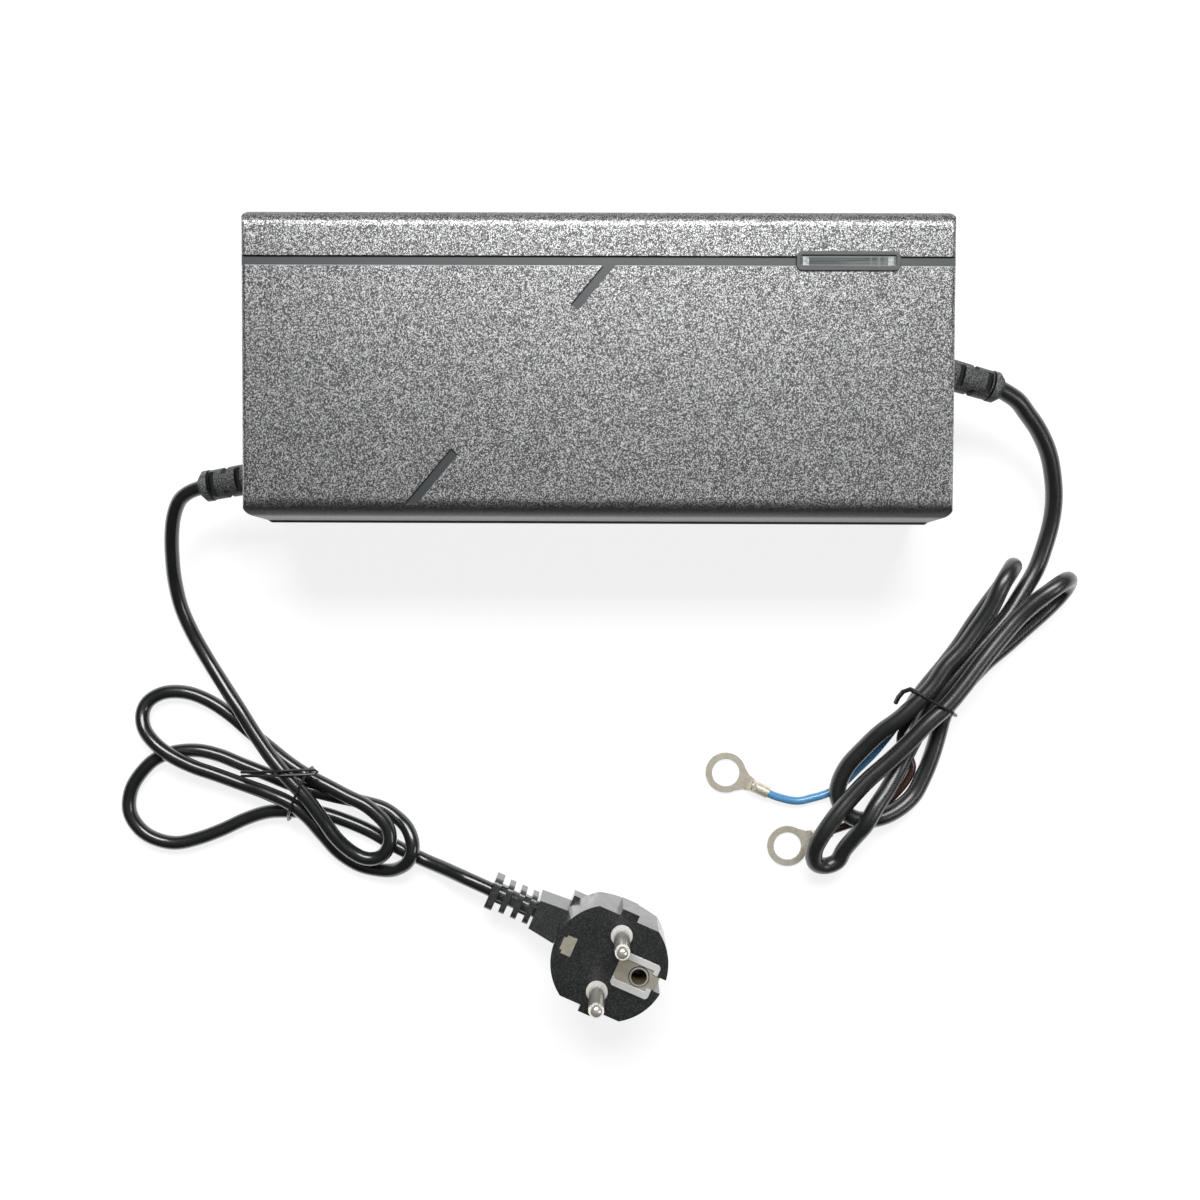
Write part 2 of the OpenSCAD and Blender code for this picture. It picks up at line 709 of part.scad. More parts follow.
module line_choke() {
  translate([-0.362 * board_len, -2, deck_z + 12]) {
    color([0.25, 0.25, 0.27])
      rotate([0, 90, 0])
        toroid(8, 2.6, 4);
    color([0.75, 0.4, 0.2])
      for (a = [25, 205])
        rotate([0, 90, 0])
          rotate([0, 0, a])
            rotate_extrude(angle = 130)
              translate([8, 0])
                square([7.2, 10], center = true);
  }
  color([0.2, 0.2, 0.2])
    translate([-0.362 * board_len, -2, deck_z + 0.75])
      cube([12, 16, 1.5], center = true);
}

module bridge_rectifier() {
  color([0.1, 0.1, 0.1])
    translate([-0.298 * board_len, -board_wid / 2 + 5, deck_z + 4])
      difference() {
        translate([-10, 0, 0])
          cube([20, 4, 16]);
        translate([0, -over, 11])
          rotate([-90, 0, 0])
            cylinder(d = 3.2, h = 6);
      }
  color([0.7, 0.7, 0.72])
    for (i = [-1.5:1:1.5])
      translate([-0.298 * board_len + i * 5, -board_wid / 2 + 7, deck_z])
        cylinder(d = 1, h = 4.5);
}

module bulk_capacitors() {
  for (s = [-1, 1])
    translate([-0.218 * board_len, s * (bulk_d / 2 + 1) - 3, deck_z]) {
      color([0.1, 0.12, 0.2])
        difference() {
          cylinder(d = bulk_d, h = 31);
          translate([0, 0, 3])
            rotate_extrude()
              translate([bulk_d / 2 + 0.6, 0])
                circle(r = 1.2);
        }
      color([0.75, 0.76, 0.78])
        translate([0, 0, 31])
          cylinder(d = bulk_d - 3, h = 0.4);
    }
}

module finned_sink() {
  difference() {
    translate([-22, 0, 0])
      cube([44, 3, sink_h]);
    for (s = [-1, 1])
      translate([s * 12, -over, sink_h - 9])
        rotate([-90, 0, 0])
          cylinder(d = screw_d, h = 3 + 2 * over);
  }
  for (i = [0:fins - 1])
    translate([-22 + i * (44 - 1.4) / (fins - 1), 2.9, 0])
      cube([1.4, 4.6, sink_h]);
}

module primary_sink() {
  color([0.72, 0.74, 0.76])
    translate([-4, back_sink_y, deck_z])
      finned_sink();
}

module secondary_sink() {
  color([0.72, 0.74, 0.76])
    translate([0.266 * board_len, front_sink_y, deck_z])
      rotate([0, 0, 180])
        finned_sink();
}

// Upright power device: tab against the sink, body in front, three legs.
module power_device() {
  color([0.1, 0.1, 0.1])
    translate([-5, -4.4, 8])
      cube([10, 3.2, 9.5]);
  color([0.75, 0.76, 0.78])
    difference() {
      translate([-5, -1.25, 8])
        cube([10, 1.25, sink_h - 13]);
      translate([0, -2, sink_h - 9])
        rotate([-90, 0, 0])
          cylinder(d = screw_d + 0.4, h = 3);
    }
  color([0.75, 0.76, 0.78])
    for (i = [-1, 0, 1])
      translate([i * 2.54 - 0.4, -3.2, 0])
        cube([0.8, 0.6, 8.2]);
}

module power_transistors() {
  for (s = [-1, 1])
    translate([-4 + s * 12, back_sink_y, deck_z])
      power_device();
}

module output_rectifiers() {
  for (s = [-1, 1])
    translate([0.266 * board_len + s * 12, front_sink_y, deck_z])
      rotate([0, 0, 180])
        power_device();
}

module device_screws() {
  color([0.6, 0.6, 0.62])
    for (q = [[-4, back_sink_y, 0], [0.266 * board_len, front_sink_y, 180]])
      translate([q[0], q[1], deck_z])
        rotate([0, 0, q[2]])
          for (s = [-1, 1])
            translate([s * 12, -1.25, sink_h - 9])
              rotate([-90, 0, 0]) {
                translate([0, 0, -2])
                  cylinder(d = screw_head_d, h = 2);
                translate([0, 0, -0.5])
                  cylinder(d = screw_d, h = 4.5);
              }
}

module transformer_core() {
  color([0.2, 0.2, 0.21])
    translate([2, -2, deck_z + 3])
      difference() {
        translate([-17, -11, 0])
          cube([34, 22, 29]);
        for (s = [-1, 1])
          translate([s * 9.6 - 4.6, -12, 5])
            cube([9.2, 24, 19]);
      }
}

module transformer_winding() {
  color([0.9, 0.75, 0.2])
    translate([2, -2, deck_z + 3])
      difference() {
        translate([-14.1, -16, 5.1])
          cube([28.2, 32, 18.8]);
        translate([-5.05, -11.05, 5])
          cube([10.1, 22.1, 20]);
        for (s = [-1, 1])
          translate([s * 30.05, 0, 14.5])
            cube([32, 22.1, 20], center = true);
      }
}

module transformer_base() {
  color([0.12, 0.12, 0.12])
    translate([2, -2, deck_z])
      union() {
        translate([-15, -16, 0])
          cube([30, 32, 3]);
        for (s = [-1, 1])
          translate([-9, s * 14 - 1.5, 2.9])
            cube([18, 3, 5.2]);
      }
}

module output_inductor() {
  translate([0.176 * board_len, -4, deck_z + 5.5]) {
    color([0.3, 0.45, 0.3])
      toroid(8, 2.6, 4);
    color([0.78, 0.42, 0.2])
      for (a = [0:40:320])
        rotate([0, 0, a])
          rotate_extrude(angle = 26)
            translate([8, 0])
              square([7.6, 11], center = true);
  }
}

module output_capacitors() {
  for (i = [0:2])
    translate([0.277 * board_len + i * (output_d + 1), 15.5, deck_z]) {
      color([0.1, 0.15, 0.12])
        difference() {
          cylinder(d = output_d, h = 25);
          translate([0, 0, 2.5])
            rotate_extrude()
              translate([output_d / 2 + 0.5, 0])
                circle(r = 1);
        }
      color([0.75, 0.76, 0.78])
        translate([0, 0, 25])
          cylinder(d = output_d - 2, h = 0.3);
    }
}

module control_chips() {
  color([0.08, 0.08, 0.08])
    for (q = [[26, 18, 10, 6.4], [26, 28, 10, 6.4], [38, 29, 6.4, 5], [48, 27, 5, 4]])
      translate([q[0], q[1], deck_z + 1.9])
        cube([q[2], q[3], 3], center = true);
  color([0.75, 0.76, 0.78])
    for (q = [[26, 18, 4, 3.6], [26, 28, 4, 3.6], [38, 29, 2, 2.9]], s = [-1, 1], i = [-1, 0, 1])
      translate([q[0] + i * q[2] * 0.7, q[1] + s * q[3], deck_z + 0.8])
        cube([0.6, 0.6, 1.6], center = true);
}

module safety_capacitor() {
  color([0.2, 0.45, 0.75])
    translate([22, -16, deck_z + 5.5])
      rotate([90, 0, 0])
        cylinder(d = 9, h = 3.4, center = true);
  color([0.75, 0.76, 0.78])
    for (s = [-1, 1])
      translate([22 + s * 2.5, -16, deck_z])
        cylinder(d = 0.7, h = 2.6);
}

// Wires between the reliefs and the board: out of the flange, over and straight down.
module inner_lead(from, to, d, rise) {
  out = from[0] < 0 ? 1 : -1;
  swept_tube(
    [
      from, from + [2.5 * out, 0, 0.3],
      [(2 * from[0] + 3 * to[0]) / 5, (2 * from[1] + 3 * to[1]) / 5, from[2] - 3 + rise],
      [to[0] - 0.6 * out, to[1], (from[2] + to[2]) / 2], [to[0], to[1], to[2] + 2.5], to
    ],
    d, 8, [out, 0, 0], [0, 0, -1]
  );
}

module mains_inner(z_off, to_x, rise) {
  x = -half_len + wall + flange_gap + flange_t;
  inner_lead([x, mains_y + 2.3, seam_z + z_off], [to_x * board_len, landing_y, deck_z], 2, rise);
}

module mains_live_inner() {
  color([0.4, 0.22, 0.12])
    mains_inner(2.4, -0.394, 4);
}

module mains_neutral_inner() {
  color([0.15, 0.3, 0.7])
    mains_inner(0, -0.42, 2.5);
}

module mains_earth_inner() {
  color([0.5, 0.65, 0.15])
    mains_inner(-2.4, -0.447, 1);
}

module dc_negative_inner() {
  color([0.1, 0.35, 0.75])
    inner_lead([half_len - wall - flange_gap - flange_t, dc_y + 1.5, seam_z], [board_len / 2 - 4, 6, deck_z], 2.4, 1);
}

module dc_positive_inner() {
  color([0.4, 0.2, 0.12])
    inner_lead([half_len - wall - flange_gap - flange_t, dc_y - 1.5, seam_z], [board_len / 2 - 4, -6, deck_z], 2.4, 1);
}

// Strain relief: flange inside the wall, neck in the wall and a slotted tail that points at the lead.
// The slots are open in turn at the sides and above and below, so that the tail bends both ways.
module relief(outlet, first, cord) {
  way = first - outlet;
  side = sign(way[0]);
  tail = norm(way);
  pitch = (tail - 2.6) / relief_slots;
  color([0.07, 0.07, 0.07])
    translate(outlet) {
      rotate([0, 0, side > 0 ? 180 : 0]) {
        translate([-0.1, 0, 0])
          rotate([0, 90, 0])
            cylinder(d = neck_d, h = wall + flange_gap + 0.6);
        translate([wall + flange_gap, 0, 0])
          rotate([0, 90, 0])
            cylinder(d = flange_d, h = flange_t);
      }
      intersection() {
        translate([side > 0 ? 0 : -40, -20, -20])
          cube([40, 40, 40]);
        rotate([0, atan2(-way[2], norm([way[0], way[1]])), atan2(way[1], way[0])])
          difference() {
            union() {
              translate([-3, 0, 0])
                rotate([0, 90, 0])
                  cylinder(d1 = relief_d, d2 = relief_d - 0.4, h = tail - 1);
              translate([tail - 3.4, 0, 0])
                rotate([0, 90, 0])
                  cylinder(d = relief_d, h = 1.8);
              translate([tail - 1.6, 0, 0])
                rotate([0, 90, 0])
                  cylinder(d1 = relief_d, d2 = cord + 1.6, h = 1.6);
            }
            for (i = [0:relief_slots - 1], s = [0, 180])
              rotate([s + (i % 2 == 0 ? 90 : 0), 0, 0])
                translate([1 + i * pitch, -relief_d, cord / 2 + 0.3])
                  cube([slot_w, 2 * relief_d, relief_d]);
          }
      }
    }
}

module mains_relief() {
  relief([-half_len, mains_y, seam_z], mains_route[0], mains_d);
}

module dc_relief() {
  relief([half_len, dc_y, seam_z], dc_route[0], dc_d);
}

module mains_lead() {
  color([0.05, 0.05, 0.05])
    swept_tube(
      mains_route, mains_d, lead_sides,
      mains_route[0] - [-half_len, mains_y, seam_z], [cos(plug_turn), sin(plug_turn), 0]
    );
}

module dc_lead() {
  color([0.05, 0.05, 0.05])
    swept_tube(
      dc_route, dc_d, lead_sides,
      dc_route[0] - [half_len, dc_y, seam_z], dc_end_dir
    );
}

// Battery wire: out of the jacket's end, along its route and into the crimp barrel.
function on_terminal(at, turn, x) = [at[0] + x * cos(turn), at[1] + x * sin(turn), barrel_z];

module battery_wire(side, route, at, turn) {
  aside = unit(cross(dc_end_dir, [0, 0, 1]));
  from = dc_route[len(dc_route) - 1] + side * (wire_d / 2 + 0.02) * aside;
  swept_tube(
    concat([from], route, [on_terminal(at, turn, mouth_x + 2.5), on_terminal(at, turn, mouth_x - socket_deep)]),
    wire_d, 8, dc_end_dir, [-cos(turn), -sin(turn), 0]
  );
}

module negative_wire() {
  color([0.1, 0.4, 0.75])
    battery_wire(1, negative_route, ring_neg_at, ring_neg_turn);
}

module positive_wire() {
  color([0.32, 0.16, 0.1])
    battery_wire(-1, positive_route, ring_pos_at, ring_pos_turn);
}

module dc_tie() {
  color([0.06, 0.06, 0.06])
    union() {
      translate([dc_tie_at[0], dc_tie_at[1], 0])
        rotate([0, 0, dc_tie_turn])
          tie_loop(dc_tie_path, tie_d);
      swept_tube(dc_tie_tail, 1.7 * tie_d, 8, [-1, 0.5, 0], [-0.2, -0.9, -0.9]);
    }
}

module mains_tie() {
  color([0.06, 0.06, 0.06])
    union() {
      translate([mains_tie_at[0], mains_tie_at[1], 0])
        rotate([0, 0, mains_tie_turn])
          tie_loop(mains_tie_path, tie_d);
      swept_tube(mains_tie_tail, tie_d, 8, [1, 0, 0.2], [-1, 0, -0.2]);
    }
}

// Crimped ring terminal: ring, flared neck and barrel along +X, lying flat on the table.
module ring_terminal() {
  color([0.72, 0.71, 0.68])
    difference() {
      union() {
        cylinder(d = ring_d, h = ring_t);
        linear_extrude(height = ring_t)
          polygon([
            [2.5, ring_d / 2 - 0.6], [ring_d / 2 + 0.8, 2.6], [neck_x + 1, 2],
            [neck_x + 1, -2], [ring_d / 2 + 0.8, -2.6], [2.5, -ring_d / 2 + 0.6]
          ]);
        translate([neck_x, 0, barrel_z])
          rotate([0, 90, 0])
            cylinder(d = barrel_d, h = barrel_len);
      }
      translate([0, 0, -over])
        cylinder(d = ring_hole_d, h = ring_t + 2 * over);
      translate([mouth_x - socket_deep, 0, barrel_z])
        rotate([0, 90, 0])
          cylinder(d = wire_d + 0.1, h = socket_deep + over);
      // Crimp dent on the upper side, ahead of the wire.
      translate([neck_x + 0.9, 0, barrel_d + 0.7])
        rotate([90, 0, 0])
          cylinder(d = 2, h = 6, center = true);
    }
}

module negative_terminal() {
  translate([ring_neg_at[0], ring_neg_at[1], 0])
    rotate([0, 0, ring_neg_turn])
      ring_terminal();
}

module positive_terminal() {
  translate([ring_pos_at[0], ring_pos_at[1], 0])
    rotate([0, 0, ring_pos_turn])
      ring_terminal();
}

module on_plug() {
  translate([plug_at[0], plug_at[1], 0])
    rotate([0, 0, plug_turn])
      children();
}

// One rib of the bend protector: a rounded plate across the lead.
module boot_rib(x, wid, tall, thick) {
  translate([x, boot_y, plug_cable_z])
    rotate([90, 0, 90])
      rounded_bar(wid, tall, 2.4, thick);
}

// Round head of the plug: two flats beside the pins and a taper below.
module plug_head() {
  intersection() {
    union() {
      translate([0, 0, 11])
        cylinder(d = plug_d, h = plug_h - 11);
      cylinder(d1 = plug_d - 12, d2 = plug_d, h = 11);
    }
    translate([-plug_d, -plug_flats / 2, -over])
      cube([2 * plug_d, plug_flats, plug_h + 2 * over]);
  }
}

// Outline of the earth plate, grown by a gap: wide in the middle, narrower between the rail ends.
module plate_outline(gap) {
  for (b = [[2.4, 15.2, 2.2], [2.4, 13.4, 2.7], [3.4, 13.4, 3.4]])
    translate([b[0] - gap, -b[2] - gap])
      square([b[1] - b[0] + 2 * gap, 2 * (b[2] + gap)]);
}

module carrier_block(h) {
  translate([8.8, 0, plug_h - 9])
    rounded_bar(12.8, 11.6, 1.3, h);
}

module plug_body() {
  boot_from = boot_end - 2.6;
  color([0.06, 0.06, 0.06])
    on_plug()
      difference() {
        union() {
          plug_head();
          // Finger block towards the lead, tapering in plan, with a low step along its middle.
          translate([0, 0, 1.6])
            linear_extrude(height = 13.8)
              polygon([[-26.6, -3.6], [-12, -5.6], [-12, 7], [-26.6, 6]]);
          translate([0, 0, 1.6])
            linear_extrude(height = 14.3)
              polygon([[-26.6, -3.6], [-12, -5.6], [-12, 1], [-26.6, 1.4]]);
          // Shoulder between the finger block and the head.
          translate([-17, 4, 3])
            cube([5, 6.6, 7]);
          // Guide blocks beside the pins.
          for (s = [-1, 1])
            translate([-3, s * (plug_flats / 2 + 0.5) - 1.6, plug_h - 14])
              cube([5.6, 3.2, 14]);
          // Bend protector: core, end collar, ribs and the webs that join them in turn.
          translate([-boot_end, boot_y, plug_cable_z])
            rotate([0, 90, 0])
              cylinder(d = mains_d + 0.8, h = 20);
          boot_rib(-boot_end, 10.6, 11.4, 2.6);
          for (i = [1:plug_ribs - 1])
            boot_rib(-boot_from + i * boot_pitch - 1.9, 9.8, 11 - 0.2 * i, 1.9);
          for (i = [0:plug_ribs - 1])
            translate([-boot_from + i * boot_pitch - 0.5, boot_y, plug_cable_z])
              rotate([i % 2 == 0 ? 0 : 90, 0, 0])
                translate([0, -3, -1.3])
                  cube([boot_pitch - 1, 6, 2.6]);
        }
        // Seats for the pins and their collars.
        for (s = [-1, 1])
          translate([0, s * pin_pitch / 2, plug_h - 6])
            cylinder(d = collar_d, h = 6 + over);
        for (s = [-1, 1])
          translate([0, s * pin_pitch / 2, plug_h - 14])
            cylinder(d = pin_root_d, h = 14);
        // Pocket for the earth contact and its carrier, open to the right for the side spring.
        carrier_block(9 + over);
        translate([15.1, -2.3, plug_h - 16])
          cube([6, 4.6, 16 + over]);
        // Seat of the left-hand spring: tab in the face, leg behind a bridge, window in the side.
        translate([-15.4, -3.15, plug_h - 1])
          cube([3.6, 6.3, 1 + over]);
        translate([-16.3, -2.3, plug_h - 12])
          cube([1.3, 4.6, 12 + over]);
        translate([-21, -2.3, plug_h - 12])
          cube([5, 4.6, 9.6]);
      }
}

module plug_pins() {
  color([0.75, 0.76, 0.77])
    on_plug()
      for (s = [-1, 1])
        translate([0, s * pin_pitch / 2, plug_h - 14])
          union() {
            cylinder(d = pin_root_d, h = 14 + pin_neck + 0.5);
            translate([0, 0, 14 + pin_neck])
              cylinder(d = pin_d, h = pin_len - pin_neck - pin_d / 2);
            translate([0, 0, 14 + pin_len - pin_d / 2])
              sphere(d = pin_d);
          }
}

module pin_collars() {
  color([0.93, 0.93, 0.91])
    on_plug()
      for (s = [-1, 1])
        translate([0, s * pin_pitch / 2, plug_h - 6])
          difference() {
            cylinder(d = collar_d, h = 6.2);
            translate([0, 0, -over])
              cylinder(d = pin_root_d, h = 6.2 + 2 * over);
          }
}

module earth_carrier() {
  color([0.93, 0.93, 0.91])
    on_plug()
      difference() {
        carrier_block(9.2);
        translate([0, 0, plug_h - 1])
          linear_extrude(height = 3)
            plate_outline(0.1);
        translate([15, -2.3, plug_h - 1])
          cube([2, 4.6, 3]);
        translate([earth_offset, 0, plug_h - 9 - over])
          cylinder(d = earth_d, h = 12);
      }
}

// Earth contact: socket plate with its side spring, and the tab and leg of the spring across.
module earth_strip() {
  color([0.72, 0.7, 0.65])
    on_plug() {
      difference() {
        union() {
          translate([0, 0, plug_h - 1])
            linear_extrude(height = 0.8)
              plate_outline(0);
          translate([15, -2.1, plug_h - 1])
            cube([1.1, 4.2, 0.8]);
          translate([15.2, -2.1, plug_h - 15])
            cube([0.9, 4.2, 14.8]);
          translate([earth_offset, 0, plug_h - 1])
            cylinder(d = earth_d + 1.2, h = 1.1);
        }
        translate([earth_offset, 0, plug_h - 4])
          cylinder(d = earth_d, h = 6);
      }
      translate([-15.2, -3, plug_h - 1])
        cube([3.2, 6, 1.1]);
      translate([-16, -2.1, plug_h - 11.8])
        cube([0.9, 4.2, 11.4]);
    }
}

top_cover();
bottom_cover();
case_screws();
rubber_feet();
window_bezel();
window_lens();
power_lamp();
charge_lamp();
lamp_board();
lamp_ribbon();
main_board();
board_screws();
line_fuse();
filter_capacitor();
line_choke();
bridge_rectifier();
bulk_capacitors();
primary_sink();
secondary_sink();
power_transistors();
output_rectifiers();
device_screws();
transformer_core();
transformer_winding();
transformer_base();
output_inductor();
output_capacitors();
control_chips();
safety_capacitor();
mains_live_inner();
mains_neutral_inner();
mains_earth_inner();
dc_negative_inner();
dc_positive_inner();
mains_relief();
dc_relief();
mains_lead();
dc_lead();
mains_tie();
dc_tie();
negative_wire();
positive_wire();
negative_terminal();
positive_terminal();
plug_body();
plug_pins();
pin_collars();
earth_carrier();
earth_strip();
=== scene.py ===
# %% [markdown]
# # A mains battery charger, dressed for its picture
# The real object is a low black plastic case with two leads. One ends in an earthed mains plug and the
# other in two ring terminals, and both are folded and tied as they come out of the box. The solids come
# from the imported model. This script gives every one of them a finish, and makes the cords, the plug and
# the small trim again with rounder edges.

import math

import bpy
from mathutils import Matrix, Vector


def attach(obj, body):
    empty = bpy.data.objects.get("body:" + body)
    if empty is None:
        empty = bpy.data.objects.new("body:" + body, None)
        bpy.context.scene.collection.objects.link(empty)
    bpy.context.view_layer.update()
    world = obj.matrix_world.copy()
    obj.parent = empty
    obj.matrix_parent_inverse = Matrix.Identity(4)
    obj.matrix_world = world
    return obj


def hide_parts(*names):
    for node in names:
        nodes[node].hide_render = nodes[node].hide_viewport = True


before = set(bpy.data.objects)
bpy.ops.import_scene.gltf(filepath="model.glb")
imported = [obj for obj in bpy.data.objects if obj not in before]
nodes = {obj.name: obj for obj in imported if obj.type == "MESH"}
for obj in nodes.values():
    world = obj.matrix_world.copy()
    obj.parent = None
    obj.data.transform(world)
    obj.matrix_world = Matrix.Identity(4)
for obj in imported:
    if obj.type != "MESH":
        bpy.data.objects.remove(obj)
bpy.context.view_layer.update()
MM = 0.001  # lengths are written in millimetres, times this, unless a comment says metres
print("solids loaded:", len(nodes))

# %% [markdown]
# ## Camera
# The picture was taken from straight above, about 40 cm over the table and a little in front of the case.
# The camera could be placed by eye, but its place was worked out from the case's edges, the plug pins and
# the rings, so that every piece lands on its own place in the frame.

# %% Camera
CAMERA_AT = (3.254, -55.552, 425.263)  # millimetres
TURN_Z, TURN_X, TURN_Y = 0.004, -0.0333, 0.0063  # radians
camera_data = bpy.data.cameras.new("camera")
camera_data.lens = 38.98
camera_data.sensor_width = 36
camera_data.sensor_fit = "HORIZONTAL"
camera_data.clip_start = 0.01
camera = bpy.data.objects.new("camera", camera_data)
bpy.context.collection.objects.link(camera)
turn = (Matrix.Rotation(TURN_Z, 4, "Z") @ Matrix.Rotation(TURN_X, 4, "X")
        @ Matrix.Rotation(TURN_Y, 4, "Y"))
camera.matrix_world = Matrix.Translation(Vector(CAMERA_AT) * MM) @ turn
bpy.context.scene.camera = camera
bpy.context.scene.view_settings.view_transform = "Standard"
print("camera at", [round(v, 4) for v in camera.location])

# %% [markdown]
# ## Maths on shader sockets
# Shader maths is easier to read as a formula than as a web of nodes. A small class wraps one output
# socket, and its operators add the Math nodes, so that 1 - mask is a formula too.


# %% Signals
class Signal:
    """One output socket of a material's nodes."""

    def __init__(self, finish, socket):
        self.finish, self.socket = finish, socket

    def math(self, operation, first, second):
        return self.finish.node("ShaderNodeMath", {"operation": operation}, {0: first, 1: second})

    def __sub__(self, other):
        return self.math("SUBTRACT", self, other)

    def __rsub__(self, other):
        return self.math("SUBTRACT", other, self)

    def __mul__(self, other):
        return self.math("MULTIPLY", self, other)

    def __rmul__(self, other):
        return self.math("MULTIPLY", other, self)

    def __abs__(self):
        return self.math("ABSOLUTE", self, 0)

    def __gt__(self, other):
        return self.math("GREATER_THAN", self, other)

    def __lt__(self, other):
        return self.math("LESS_THAN", self, other)


# %% [markdown]
# ## One class for every finish
# A material could be built from scratch for each piece, but plastic, rubber and metal here need the same
# few steps. This class holds one material. Its node method adds any node, and the short methods under it
# are the patterns that the finishes share: noise, grains, a level between two limits, a blend and a bump.


# %% Finishes
class Finish:
    """A material with one Principled shader."""

    def __init__(self, name, **values):
        self.material = bpy.data.materials.new(name)
        self.material.use_nodes = True
        self.tree = self.material.node_tree
        self.shader = self.tree.nodes["Principled BSDF"]
        self.place = None
        self.set(**values)

    def node(self, kind, settings=None, inputs=None, output=0):
        made = self.tree.nodes.new(kind)
        for key, value in (settings or {}).items():
            setattr(made, key, value)
        for key, value in (inputs or {}).items():
            if isinstance(value, Signal):
                self.tree.links.new(value.socket, made.inputs[key])
            else:
                made.inputs[key].default_value = value
        return Signal(self, made.outputs[output])

    def at(self):
        """The place on the object, in metres."""
        if self.place is None:
            self.place = self.node("ShaderNodeTexCoord", output="Object")
        return self.place

    def axis(self, letter):
        """One coordinate of the place, X, Y or Z."""
        return self.node("ShaderNodeSeparateXYZ", inputs={0: self.at()}, output=letter)

    def noise(self, size_mm, detail=2.0, roughness=0.5, stretch=None):
        """Soft clouds of about this size."""
        vector = self.at()
        if stretch is not None:
            vector = self.node("ShaderNodeMapping", inputs={"Vector": vector, "Scale": stretch})
        inputs = {"Vector": vector, "Scale": 1 / (size_mm * MM), "Detail": detail, "Roughness": roughness}
        return self.node("ShaderNodeTexNoise", inputs=inputs)

    def grains(self, size_mm):
        """Separate grains of this size, each with its own grey."""
        inputs = {"Vector": self.at(), "Scale": 1 / (size_mm * MM)}
        return self.node("ShaderNodeTexVoronoi", inputs=inputs, output="Color")

    def level(self, value, low, high, to_low=0.0, to_high=1.0):
        """The value, stretched so that low gives to_low and high gives to_high, and held between them."""
        inputs = {0: value, 1: low, 2: high, 3: to_low, 4: to_high}
        return self.node("ShaderNodeMapRange", {"clamp": True}, inputs)

    def blend(self, factor, first, second):
        """A mix of two colours. The Mix node has its colours in sockets 6 and 7 and its result in 2."""
        first, second = ((*c, 1) if isinstance(c, tuple) else c for c in (first, second))
        inputs = {0: factor, 6: first, 7: second}
        return self.node("ShaderNodeMix", {"data_type": "RGBA"}, inputs, output=2)

    def from_line(self, start, direction):
        """The distance from a line, in metres."""
        away = self.node("ShaderNodeVectorMath", {"operation": "SUBTRACT"}, {0: self.at(), 1: start})
        side = self.node("ShaderNodeVectorMath", {"operation": "CROSS_PRODUCT"}, {0: away, 1: direction})
        return self.node("ShaderNodeVectorMath", {"operation": "LENGTH"}, {0: side}, "Value")

    def bump(self, height, depth_mm):
        """A surface that rises and falls by this depth."""
        return self.node("ShaderNodeBump", inputs={"Distance": depth_mm * MM, "Height": height})

    def set(self, **values):
        """Give the shader's own sockets a value, a colour or a signal."""
        for name, value in values.items():
            socket = self.shader.inputs[name.replace("_", " ")]
            if isinstance(value, Signal):
                self.tree.links.new(value.socket, socket)
            elif isinstance(value, tuple) and len(value) == 3:
                socket.default_value = (*value, 1)
            else:
                socket.default_value = value

    def on(self, *pieces):
        """Put the material on these pieces."""
        for piece in pieces:
            piece.data.materials.clear()
            piece.data.materials.append(self.material)


# %% [markdown]
# ## The leads
# Each lead is one length of round PVC cable, folded into a flat hank and tied. A bundle like this could be
# a mesh tube, but a Bezier curve with a round bevel stays smooth at every bend. The points are the same
# route that the solid lead follows, and the handles make the curve pass through them without a kink.

